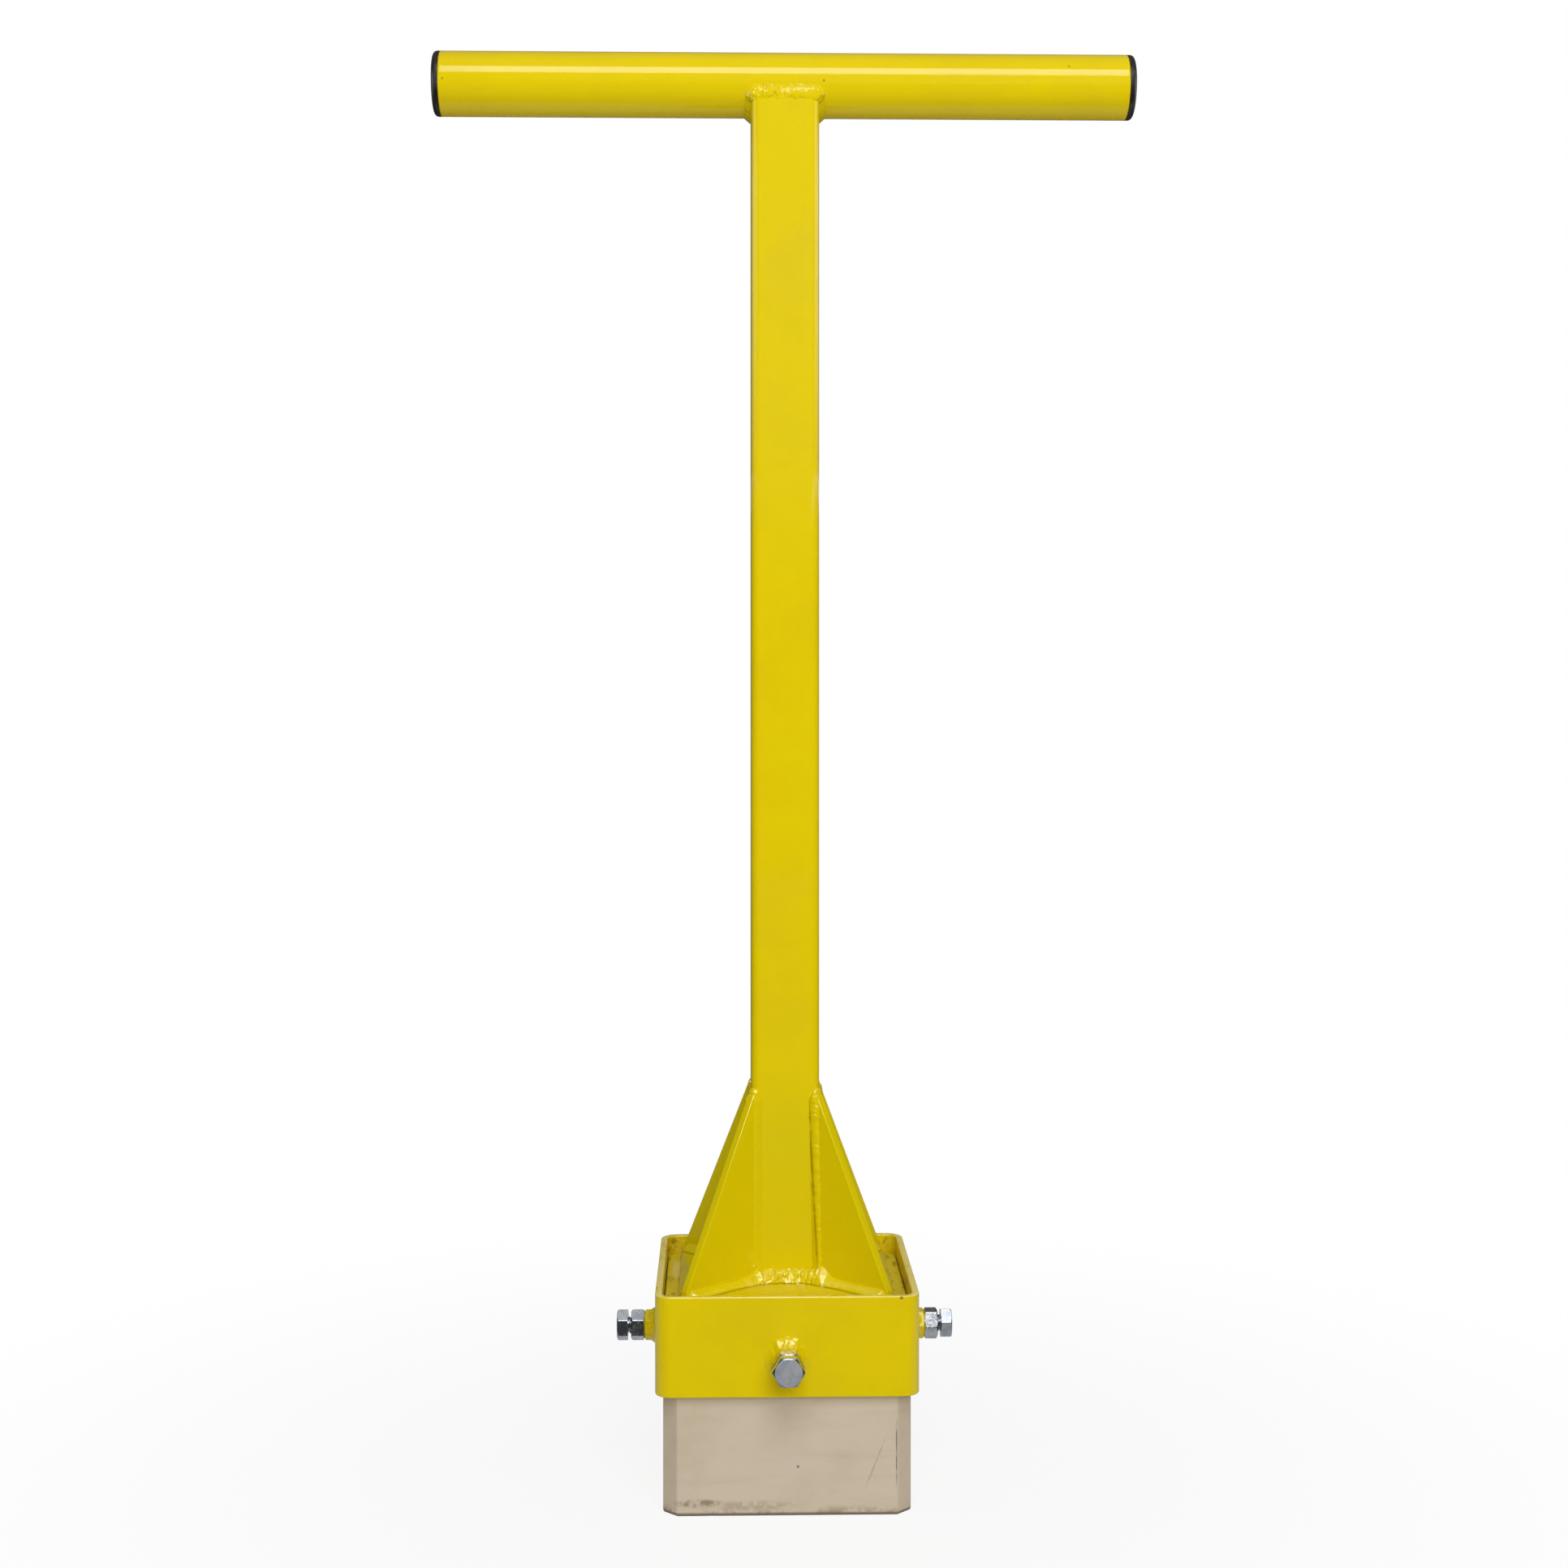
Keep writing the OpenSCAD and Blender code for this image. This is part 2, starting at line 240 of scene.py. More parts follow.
# Shading nodes
def put(tree, kind, inputs=None, **settings):
    """Adds a node. Its inputs are constants, or sockets that are linked."""
    node = tree.nodes.new(kind)
    for name, value in settings.items():
        setattr(node, name, value)
    for name, value in (inputs or {}).items():
        if isinstance(value, bpy.types.NodeSocket):
            tree.links.new(value, node.inputs[name])
        else:
            node.inputs[name].default_value = value
    return node


def mix(tree, share, first, second):
    """Colour between two others."""
    node = put(tree, "ShaderNodeMix", {0: share, 6: first, 7: second}, data_type="RGBA")
    return node.outputs[2]


def calc(tree, operation, first, second=0.0):
    """One sum on one or two values, kept between 0 and 1."""
    node = put(tree, "ShaderNodeMath", {0: first, 1: second}, operation=operation, use_clamp=True)
    return node.outputs[0]


def product(tree, *values):
    """All the values multiplied together."""
    result = values[0]
    for value in values[1:]:
        result = calc(tree, "MULTIPLY", result, value)
    return result


def size_of(tree, value):
    """Value without its sign."""
    return put(tree, "ShaderNodeMath", {0: value}, operation="ABSOLUTE").outputs[0]


def ramp(tree, value, start, end, low=0.0, high=1.0):
    """Smooth step: low up to start, high from end on."""
    inputs = {"Value": value, "From Min": start, "From Max": end, "To Min": low, "To Max": high}
    return put(tree, "ShaderNodeMapRange", inputs, interpolation_type="SMOOTHSTEP").outputs["Result"]


def new_effect(name, numbers, output):
    """Empty node group with a Vector, named numbers and one output; returns the group and both ends."""
    group = bpy.data.node_groups.new(name, "ShaderNodeTree")
    group.interface.new_socket("Vector", in_out="INPUT", socket_type="NodeSocketVector")
    for label in numbers:
        group.interface.new_socket(label, in_out="INPUT", socket_type="NodeSocketFloat")
    group.interface.new_socket(output, in_out="OUTPUT", socket_type="NodeSocketFloat")
    entry = group.nodes.new("NodeGroupInput").outputs
    leave = group.nodes.new("NodeGroupOutput").inputs
    return group, entry, leave


def cloud_effect():
    """Soft patches: noise at a scale, cut between two levels."""
    group, entry, leave = new_effect("Soft patches", ("Scale", "Low", "High"), "Mask")
    inputs = {"Vector": entry["Vector"], "Scale": entry["Scale"], "Detail": 5.0, "Roughness": 0.6}
    noise = put(group, "ShaderNodeTexNoise", inputs)
    group.links.new(ramp(group, noise.outputs["Fac"], entry["Low"], entry["High"]), leave["Mask"])
    return group


def speck_effect():
    """Scattered specks: spots about random cell points, kept in a share of the cells."""
    group, entry, leave = new_effect("Scattered specks", ("Scale", "Radius", "Share"), "Mask")
    cells = put(group, "ShaderNodeTexVoronoi", {"Vector": entry["Vector"], "Scale": entry["Scale"]})
    chosen = put(group, "ShaderNodeSeparateColor", {"Color": cells.outputs["Color"]})
    kept = calc(group, "LESS_THAN", chosen.outputs["Red"], entry["Share"])
    inside = calc(group, "LESS_THAN", cells.outputs["Distance"], entry["Radius"])
    group.links.new(calc(group, "MULTIPLY", kept, inside), leave["Mask"])
    return group


def grain_effect():
    """Fine relief: noise as a height, drawn out into swirls where it is distorted."""
    group, entry, leave = new_effect("Fine relief", ("Scale", "Distortion"), "Height")
    inputs = {label: entry[label] for label in ("Vector", "Scale", "Distortion")}
    noise = put(group, "ShaderNodeTexNoise", {**inputs, "Detail": 0.3})
    group.links.new(noise.outputs["Fac"], leave["Height"])
    return group


PATCHES = cloud_effect()
SPECKS = speck_effect()
RELIEF = grain_effect()


def effect(tree, group, **inputs):
    """Places an effect's group in a material with its own values."""
    return put(tree, "ShaderNodeGroup", inputs, node_tree=group).outputs[0]


def start_material(name):
    """New material: its node tree, its shader, Object coordinates and their three parts."""
    material = bpy.data.materials.new(name)
    material.use_nodes = True
    tree = material.node_tree
    place = tree.nodes.new("ShaderNodeTexCoord").outputs["Object"]
    axes = put(tree, "ShaderNodeSeparateXYZ", {0: place}).outputs
    return material, tree, tree.nodes["Principled BSDF"], place, axes


def relief_normal(tree, height, strength, depth):
    """Normal of a surface with a height pattern of the given depth."""
    inputs = {"Height": height, "Strength": strength, "Distance": depth}
    return put(tree, "ShaderNodeBump", inputs).outputs["Normal"]


def stretched(tree, place, scale):
    """Coordinates scaled along each axis; a pattern is drawn out where the scale is small."""
    return put(tree, "ShaderNodeMapping", {"Vector": place, "Scale": scale}).outputs["Vector"]


def dot_with(tree, place, direction):
    """Distance along a direction."""
    inputs = {0: place, 1: direction}
    return put(tree, "ShaderNodeVectorMath", inputs, operation="DOT_PRODUCT").outputs["Value"]


def spot(tree, place, centre, spread):
    """Soft spot: the distance from its centre in units of its spread along each axis."""
    inputs = {"Vector": place, "Location": centre, "Scale": spread}
    local = put(tree, "ShaderNodeMapping", inputs, vector_type="TEXTURE").outputs["Vector"]
    away = put(tree, "ShaderNodeVectorMath", {0: local}, operation="LENGTH").outputs["Value"]
    return ramp(tree, away, 1.0, 0.4)


def stroke(tree, place, start, end, half_width, fade):
    """Straight stroke on a front face, between two points given as x and z.

    The distance along it and the distance off it are dot products with its direction and its normal.
    """
    start = np.array([start[0], 0.0, start[1]])
    along = np.array([end[0], 0.0, end[1]]) - start
    length = np.linalg.norm(along)
    along /= length
    off = np.cross(along, OUTWARD["front"])
    first = float(start @ along)
    far = dot_with(tree, place, along)
    inputs = {0: dot_with(tree, place, off), 1: float(start @ off)}
    aside = put(tree, "ShaderNodeMath", inputs, operation="SUBTRACT").outputs[0]
    return product(
        tree,
        ramp(tree, size_of(tree, aside), half_width, half_width * 0.4),
        ramp(tree, far, first - fade, first + fade),
        ramp(tree, far, first + length + fade, first + length - fade),
    )


# Colours, linear
YELLOW = (0.800, 0.612, 0.0010, 1.0)
YELLOW_DEEP = (0.765, 0.575, 0.0010, 1.0)
# Deeper yellow: painted shade on the foot, and the paint sprayed over the block's top
YELLOW_SHADE_AND_SPRAY = (0.725, 0.582, 0.0010, 1.0)
PAINT_PIT = (0.16, 0.11, 0.02, 1.0)
# Soil in the slots; also the colour of the painted shade along the welds' toes
SOIL_AND_SHADE = (0.19, 0.135, 0.002, 1.0)
DUST = (0.86, 0.73, 0.24, 1.0)
ZINC = (0.60, 0.62, 0.65, 1.0)
ZINC_BLUE = (0.42, 0.47, 0.56, 1.0)
ZINC_WARM = (0.66, 0.58, 0.50, 1.0)
CAP_BLACK = (0.014, 0.012, 0.011, 1.0)
CAP_DUST = (0.060, 0.052, 0.045, 1.0)
CREAM = (0.640, 0.545, 0.415, 1.0)
# Stains on the block; also its painted shade under the collar
CREAM_STAIN_AND_SHADE = (0.520, 0.415, 0.285, 1.0)
CREAM_RED = (0.46, 0.32, 0.24, 1.0)
SCUFF = (0.30, 0.220, 0.14, 1.0)
BLOCK_DARK = (0.10, 0.08, 0.06, 1.0)


# Chips in the paint: centre and radius
PAINT_CHIPS = [
    (np.array([64.3 * MM, -collar_half, collar_high[2] - 0.9 * MM]), 1.4 * MM),
    (np.array([22.6 * MM, -handle_radius, handle_axis - 1.3 * MM]), 0.9 * MM),
]

# Dirt in the slots is drawn out along them
ALONG_SLOT = (1.0, 0.35, 1.0)

# Painted shadow in the open toe beside the front right gusset's upright bead: its ends as x and z
UNDERCUT_SHADOW_LOW = (18.6 * MM, plate_top + 12 * MM)
UNDERCUT_SHADOW_HIGH = (13.9 * MM, gusset_high[2] - 9 * MM)


def slot_dirt(tree, place, colour, mask, powder_low, powder_share):
    """Colour with patches of soil and a little dust on it, where a mask allows."""
    drawn_out = stretched(tree, place, ALONG_SLOT)
    soil = effect(tree, PATCHES, Vector=drawn_out, Scale=190.0, Low=0.50, High=0.68)
    powder = effect(tree, PATCHES, Vector=drawn_out, Scale=140.0, Low=powder_low, High=0.62)
    colour = mix(tree, product(tree, mask, soil, 0.7), colour, SOIL_AND_SHADE)
    return mix(tree, product(tree, mask, powder, powder_share), colour, DUST)


def foot_shade_mask(tree, side, depth, height):
    """Mask of the painted shade on the foot inside the collar, from the plate up to the gussets' tops."""
    return product(
        tree,
        ramp(tree, side, COLLAR_INNER, COLLAR_INNER - 1 * MM),
        ramp(tree, depth, COLLAR_INNER, COLLAR_INNER - 1 * MM),
        ramp(tree, height, plate_top - 2 * MM, plate_top),
        ramp(tree, height, gusset_high[2] + 15 * MM, gusset_high[2] - 25 * MM),
    )


def slot_walls(tree, side, depth, height):
    """Mask of the slots' walls, between the plate's ends and the collar, from the block up to the rim."""
    wall = (COLLAR_INNER + 0.3 * MM, COLLAR_INNER + 0.1 * MM)
    return product(
        tree,
        ramp(tree, side, plate_high[0] - 2 * MM, plate_high[0] + 1 * MM),
        ramp(tree, side, *wall),
        ramp(tree, depth, *wall),
        ramp(tree, height, block_high[2] - 3 * MM, block_high[2]),
        ramp(tree, height, collar_high[2], collar_high[2] - 3 * MM),
    )


def dusty_rim(tree, place, side, depth, height):
    """Mask of dust on the collar's rim, thick at both sides and half as thick in front and behind."""
    wall = (COLLAR_INNER - 2 * MM, COLLAR_INNER)
    half_dusty = product(tree, ramp(tree, depth, *wall), 0.5)
    return product(
        tree,
        effect(tree, PATCHES, Vector=place, Scale=85.0, Low=0.25, High=0.50),
        calc(tree, "MAXIMUM", ramp(tree, side, *wall), half_dusty),
        ramp(tree, height, collar_high[2] - 0.9 * MM, collar_high[2] - 0.4 * MM),
        ramp(tree, height, collar_high[2] + 2 * MM, collar_high[2] + 1 * MM),
    )


def paint_pits(tree, place):
    """Mask of small pits all over the paint, and of its chips."""
    pits = effect(tree, SPECKS, Vector=place, Scale=120.0, Radius=0.09, Share=0.012)
    pits = product(tree, pits, 0.6)
    for centre, radius in PAINT_CHIPS:
        chip = spot(tree, place, centre, (radius, radius, radius))
        pits = calc(tree, "MAXIMUM", pits, product(tree, chip, 0.8))
    return pits


def lively_welds(tree, side, depth, height):
    """How rough a weld is: most in the middle of the foot's beads, above the nuts and at the handle."""
    near = calc(tree, "MINIMUM", side, depth)
    foot = product(
        tree,
        ramp(tree, near, shaft_half + 3 * MM, shaft_half - 2 * MM),
        ramp(tree, height, plate_top - 2 * MM, plate_top - 1 * MM),
        ramp(tree, height, plate_top + 13 * MM, plate_top + 8 * MM),
    )
    nuts = product(
        tree,
        ramp(tree, near, 10 * MM, 6 * MM),
        ramp(tree, height, bolt_axis + 5 * MM, bolt_axis + 8 * MM),
    )
    joint = product(
        tree,
        ramp(tree, height, handle_axis - 30 * MM, handle_axis - 25 * MM),
        ramp(tree, depth, shaft_half - 5 * MM, shaft_half - 2 * MM),
    )
    lively = calc(tree, "MAXIMUM", calc(tree, "MAXIMUM", foot, nuts), joint)
    return ramp(tree, lively, 0.0, 1.0, 0.06, 1.0)


def shaded_weld_toes(tree, place, axes, depth):
    """Mask of painted shade along the foot beads' lower toe, and of a painted shadow in the open toe of
    the front right upright.
    """
    shade_at_toe = product(
        tree,
        ramp(tree, axes["Z"], plate_top + 1.2 * MM, plate_top + 0.5 * MM),
        ramp(tree, axes["Z"], plate_top - 3 * MM, plate_top - 2 * MM),
        ramp(tree, depth, COLLAR_INNER - 6 * MM, COLLAR_INNER - 8 * MM),
    )
    undercut_shadow = product(
        tree,
        stroke(tree, place, UNDERCUT_SHADOW_LOW, UNDERCUT_SHADOW_HIGH, half_width=0.9 * MM, fade=6 * MM),
        ramp(tree, axes["Y"], 0.0, -1 * MM),
        effect(tree, PATCHES, Vector=place, Scale=120.0, Low=0.30, High=0.50),
    )
    return calc(tree, "MAXIMUM", shade_at_toe, undercut_shadow)


def yellow_paint(name, peel_scale, peel_depth, on_welds=False):
    """Glossy paint: faint patches, painted shade on the foot, soil in the slots, dust on the rim, and
    pits.

    On welds the relief is stronger where they are lively, and painted shade lies along their toes.
    """
    material, tree, shader, place, axes = start_material(name)
    height = axes["Z"]
    side = size_of(tree, axes["X"])
    depth = size_of(tree, axes["Y"])
    patches = effect(tree, PATCHES, Vector=place, Scale=17.0, Low=0.38, High=0.72)
    in_slot = slot_walls(tree, side, depth, height)
    on_rim = dusty_rim(tree, place, side, depth, height)
    colour = mix(tree, patches, YELLOW, YELLOW_DEEP)
    # Painted shade: the paint darkens on the foot, in the corners between shaft, gussets and plate
    shade_on_foot = product(tree, foot_shade_mask(tree, side, depth, height), 0.9)
    colour = mix(tree, shade_on_foot, colour, YELLOW_SHADE_AND_SPRAY)
    colour = slot_dirt(tree, place, colour, in_slot, powder_low=0.54, powder_share=0.06)
    colour = mix(tree, product(tree, on_rim, 0.8), colour, DUST)
    colour = mix(tree, paint_pits(tree, place), colour, PAINT_PIT)

    worn = calc(tree, "ADD", product(tree, on_rim, 0.5), product(tree, in_slot, 0.35))
    gloss = calc(tree, "ADD", ramp(tree, patches, 0.0, 1.0, 0.09, 0.13), worn)
    peel = effect(tree, RELIEF, Vector=place, Scale=peel_scale, Distortion=1.5 if on_welds else 0.0)
    if on_welds:
        calm = effect(tree, RELIEF, Vector=place, Scale=120.0, Distortion=0.0)
        lively = lively_welds(tree, side, depth, height)
        peel = product(tree, peel, lively, ramp(tree, calm, 0.42, 0.56, 0.35, 1.0))
        # Painted shade along the beads' lower toes, and a painted shadow in the front right upright's open
        # toe
        toe_shade_share = product(tree, shaded_weld_toes(tree, place, axes, depth), 0.55)
        colour = mix(tree, toe_shade_share, colour, SOIL_AND_SHADE)
    shader.inputs["Specular IOR Level"].default_value = 0.38
    tree.links.new(colour, shader.inputs["Base Color"])
    tree.links.new(gloss, shader.inputs["Roughness"])
    tree.links.new(relief_normal(tree, peel, 1.0, peel_depth), shader.inputs["Normal"])
    return material


def zinc_plating():
    """Bright zinc with bluish and warm tints, fine wear, and duller forged faces on the heads."""
    material, tree, shader, place, axes = start_material("zinc_plating")
    tint = effect(tree, PATCHES, Vector=place, Scale=150.0, Low=0.35, High=0.65)
    warm = effect(tree, PATCHES, Vector=place, Scale=310.0, Low=0.52, High=0.70)
    colour = mix(tree, tint, ZINC, ZINC_BLUE)
    colour = mix(tree, product(tree, warm, 0.5), colour, ZINC_WARM)
    reach = calc(tree, "MAXIMUM", size_of(tree, axes["X"]), size_of(tree, axes["Y"]))
    forged = ramp(tree, reach, bolt_high[0] - 0.15 * MM, bolt_high[0] - 0.05 * MM)
    wear = effect(tree, PATCHES, Vector=place, Scale=700.0, Low=0.40, High=0.75)
    gloss = calc(tree, "ADD", ramp(tree, wear, 0.0, 1.0, 0.20, 0.34), product(tree, forged, 0.25))
    grain = effect(tree, RELIEF, Vector=place, Scale=2200.0)
    tree.links.new(colour, shader.inputs["Base Color"])
    tree.links.new(ramp(tree, forged, 0.0, 1.0, 1.0, 0.55), shader.inputs["Metallic"])
    tree.links.new(gloss, shader.inputs["Roughness"])
    tree.links.new(relief_normal(tree, grain, 0.4, 0.03 * MM), shader.inputs["Normal"])
    return material


def cap_plastic():
    """Black moulded plastic with a fine grain and a little dust."""
    material, tree, shader, place, _ = start_material("cap_plastic")
    dust = effect(tree, PATCHES, Vector=place, Scale=120.0, Low=0.45, High=0.80)
    grain = effect(tree, RELIEF, Vector=place, Scale=1500.0)
    tree.links.new(mix(tree, dust, CAP_BLACK, CAP_DUST), shader.inputs["Base Color"])
    tree.links.new(ramp(tree, dust, 0.0, 1.0, 0.38, 0.60), shader.inputs["Roughness"])
    tree.links.new(relief_normal(tree, grain, 0.5, 0.05 * MM), shader.inputs["Normal"])
    return material


# Marks on the block's front: strokes from a low end to a high end as x and z, and spots as x and z
SPLIT_ENDS = ((61.8 * MM, 20 * MM), (61.8 * MM, 51 * MM))
SCRATCH_ENDS = ((44.8 * MM, 17 * MM), (54.9 * MM, 42.3 * MM))
DOT_PLACE = (5.9 * MM, 28.0 * MM)
SMUDGE_PLACE = (-50 * MM, 7.5 * MM)
LOW_STAIN_PLACE = (-20 * MM, 6 * MM)

# Spot in the left slot where the spray left the block's top bare: x and y
BARE_PLACE = (-64.5 * MM, 30 * MM)


def front_spot(tree, place, centre, half_width, half_height):
    """Soft spot on the block's front, about an x and a z."""
    middle = (centre[0], block_front, centre[1])
    return spot(tree, place, middle, (half_width, 20 * MM, half_height))


def stained_cream(tree, place, axes, stains):
    """Cream with patches and level streaks of stain, darker on the chamfers."""
    streaks = stretched(tree, place, (9.0, 9.0, 60.0))
    streaked = effect(tree, PATCHES, Vector=streaks, Scale=1.6, Low=0.48, High=0.75)
    chamfer = block_high[0] - BLOCK_CHAMFER
    on_chamfer = ramp(tree, size_of(tree, axes["X"]), chamfer - 0.5 * MM, chamfer + 1 * MM)
    colour = mix(tree, product(tree, stains, 0.5), CREAM, CREAM_STAIN_AND_SHADE)
    colour = mix(tree, product(tree, streaked, 0.35), colour, CREAM_STAIN_AND_SHADE)
    return mix(tree, product(tree, on_chamfer, 0.25), colour, CREAM_STAIN_AND_SHADE)


def block_plastic():
    """Cream cast plastic: stains, scuffed lower edges, a split, a scratch, paint and soil on top, and
    painted shade under the collar and along the sole.
    """
    material, tree, shader, place, axes = start_material("block_plastic")
    front = ramp(tree, axes["Y"], block_front + 2.0 * MM, block_front + 1.0 * MM)
    stains = effect(tree, PATCHES, Vector=place, Scale=26.0, Low=0.46, High=0.78)
    colour = stained_cream(tree, place, axes, stains)

    scuffs = effect(tree, PATCHES, Vector=place, Scale=75.0, Low=0.47, High=0.62)
    near_sole = ramp(tree, axes["Z"], 7 * MM, 1.5 * MM)
    edge = ramp(tree, axes["Z"], 3.0 * MM, 1.0 * MM)
    scuffed = calc(tree, "MAXIMUM", product(tree, scuffs, near_sole), product(tree, edge, 0.75))
    colour = mix(tree, product(tree, scuffed, 0.75), colour, SCUFF)
    smudge = front_spot(tree, place, SMUDGE_PLACE, half_width=17 * MM, half_height=3.2 * MM)
    low_stain = front_spot(tree, place, LOW_STAIN_PLACE, half_width=30 * MM, half_height=4 * MM)
    patchy = effect(tree, PATCHES, Vector=place, Scale=260.0, Low=0.34, High=0.58)
    smudged = calc(tree, "MAXIMUM", smudge, product(tree, low_stain, 0.5))
    colour = mix(tree, product(tree, smudged, patchy, 0.9), colour, SCUFF)

    dots = effect(tree, SPECKS, Vector=place, Scale=55.0, Radius=0.035, Share=0.06)
    dot = front_spot(tree, place, DOT_PLACE, half_width=1.1 * MM, half_height=1.1 * MM)
    split = stroke(tree, place, *SPLIT_ENDS, half_width=0.50 * MM, fade=8 * MM)
    scratch = stroke(tree, place, *SCRATCH_ENDS, half_width=0.70 * MM, fade=6 * MM)
    broken = ramp(tree, patchy, 0.0, 1.0, 0.35, 1.0)
    all_dots = calc(tree, "MAXIMUM", dots, dot)
    marks = calc(tree, "MAXIMUM", all_dots, product(tree, split, front, broken))
    colour = mix(tree, product(tree, scratch, front, broken, 0.65), colour, CREAM_RED)
    colour = mix(tree, product(tree, marks, 0.75), colour, BLOCK_DARK)
    # Painted shade: a dark line along the block's lowest edge, where it stands on the floor
    shade_at_sole = ramp(tree, axes["Z"], 2.6 * MM, 1.2 * MM)
    colour = mix(tree, product(tree, shade_at_sole, 0.7), colour, BLOCK_DARK)

    # Painted shade: a darker band on the block just under the collar's lower edge
    shade_under_collar = ramp(tree, axes["Z"], collar_low[2] - 7 * MM, collar_low[2])
    colour = mix(tree, product(tree, shade_under_collar, 0.35), colour, CREAM_STAIN_AND_SHADE)

    on_top = ramp(tree, axes["Z"], block_high[2] - 1.0 * MM, block_high[2] - 0.3 * MM)
    drawn_out = stretched(tree, place, ALONG_SLOT)
    spray = effect(tree, PATCHES, Vector=drawn_out, Scale=110.0, Low=0.20, High=0.30)
    bare = spot(tree, place, (*BARE_PLACE, block_high[2]), (3.5 * MM, 30 * MM, 5 * MM))
    colour = mix(tree, product(tree, on_top, spray), colour, YELLOW_SHADE_AND_SPRAY)
    colour = slot_dirt(tree, place, colour, on_top, powder_low=0.52, powder_share=0.08)
    colour = mix(tree, product(tree, on_top, bare, 0.6), colour, DUST)

    grain = effect(tree, RELIEF, Vector=place, Scale=420.0)
    cut_in = calc(tree, "SUBTRACT", grain, product(tree, split, front))
    shader.inputs["Specular IOR Level"].default_value = 0.3
    tree.links.new(colour, shader.inputs["Base Color"])
    tree.links.new(ramp(tree, stains, 0.0, 1.0, 0.52, 0.70), shader.inputs["Roughness"])
    tree.links.new(relief_normal(tree, cut_in, 0.35, 0.15 * MM), shader.inputs["Normal"])
    return material


TUBE_PAINT = yellow_paint("tube_paint", 420.0, 0.02 * MM)
BEAD_PAINT = yellow_paint("bead_paint", 210.0, 1.5 * MM, on_welds=True)
ZINC_PLATING = zinc_plating()
CAP_PLASTIC = cap_plastic()
BLOCK_PLASTIC = block_plastic()


# Finishes of the welded frame
def finish_painted(name, sheets, node, crease=40.0):
    """Finishes a piece of the welded frame in smooth paint."""
    finish_piece(name, sheets, TUBE_PAINT, "frame", [node], crease)


def finish_weld(node, sheets):
    """Finishes a weld in the paint that shows its roughness, with only its sharpest edges sharp."""
    finish_piece(f"{node}_finished", sheets, BEAD_PAINT, "frame", [node], crease=70.0)


# Tubes and plates
def shaft():
    """Square tube: a rounded square carried up Z, out on one wall and back down the other.

    The top follows the cope, the lower of the tube's cut height and the handle's under surface at each y.
    """
    section = square(shaft_half, shaft_half)
    outline, normals = rounded_outline(section, SHAFT_CORNER, arc_steps=12, straight=even(10))
    share = np.linspace(0.0, 1.0, 41)[:, None]
    walls = []
    for offset in (0.0, -SHAFT_WALL):
        y = outline[:, 1] + offset * normals[:, 1]
        under = handle_axis - np.sqrt(np.maximum(COPE_RADIUS ** 2 - y ** 2, 0.0))
        top = np.minimum(under, shaft_high[2])
        height = plate_top + share * (top - plate_top)
        walls.append(wall_grid(outline, normals, np.full(len(share), offset), height))
    points = np.concatenate([walls[0], walls[1][::-1]])
    sheets = [sheet(points, wrap_rows=True, wrap_columns=True)]
    finish_painted("shaft_finished", sheets, "shaft_tube")


def handle():
    """Round tube about X: a closed wall section with softly rounded ends, turned about the axis."""
    half = handle_high[0]
    edge = 0.4 * MM
    straight = np.linspace(-half + 3 * edge, half - 3 * edge, 30)
    along = np.concatenate([[-half, -half + edge], straight, [half - edge, half]])
    outer = np.full(len(along), handle_radius)
    outer[[0, -1]] -= edge
    inner = np.full(len(along), handle_radius - HANDLE_WALL)
    radius = np.concatenate([outer, inner])
    section = round_grid(radius, np.concatenate([along, along[::-1]]), columns=360)
    points = placed(section, UP * handle_axis, OUTWARD["back"], UP, OUTWARD["right"])
    sheets = [sheet(points, wrap_rows=True, wrap_columns=True)]
    finish_painted("handle_finished", sheets, "handle_tube", crease=60.0)


def end_cap(side):
    """Moulded cap turned about X: dished gate mark, slightly domed face, rounded rim and a ribbed plug.

    The plug's radius swells by a squared sine at each rib.
    """
    flange = cap_high[0] - handle_high[0]
    rim = 2.5 * MM
    rib_rise = 0.6 * MM
    plug_wall = 2.6 * MM
    floor_thick = 1 * MM
    bore = handle_radius - HANDLE_WALL
    plug = handle_high[0] - cap_low[0]
    bend = np.linspace(0.0, np.pi / 2, 9)
    rim_radius = handle_radius - rim + rim * np.sin(bend)
    rim_along = flange - rim + rim * np.cos(bend)
    face_radius = np.array([0.0, 1.2, 1.6, 6.0, 12.0]) * MM
    face_along = flange - np.array([0.9, 0.8, 0.0, 0.05, 0.1]) * MM
    rib = np.linspace(0.0, 1.0, 8 * CAP_PLUG_RIBS + 1)
    plug_radius = bore - rib_rise + rib_rise * np.sin(np.pi * CAP_PLUG_RIBS * rib) ** 2
    hollow = bore - plug_wall
    hollow_end = flange - rim - floor_thick
    shoulder = [handle_radius, bore]
    radius = np.concatenate([face_radius, rim_radius, shoulder, plug_radius, [hollow, hollow, 0.0]])
    inside = [-plug, hollow_end, hollow_end]
    along = np.concatenate([face_along, rim_along, [0.0, 0.0], -plug * rib, inside])
    section = round_grid(radius, along, columns=96)
    axis = OUTWARD[side]
    origin = axis * handle_high[0] + UP * handle_axis
    points = placed(section, origin, np.cross(UP, axis), UP, axis)
    finish_piece(f"{side}_end_cap_finished", [sheet(points, wrap_columns=True)], CAP_PLASTIC, "frame",
                 [f"{side}_end_cap"], crease=50.0)


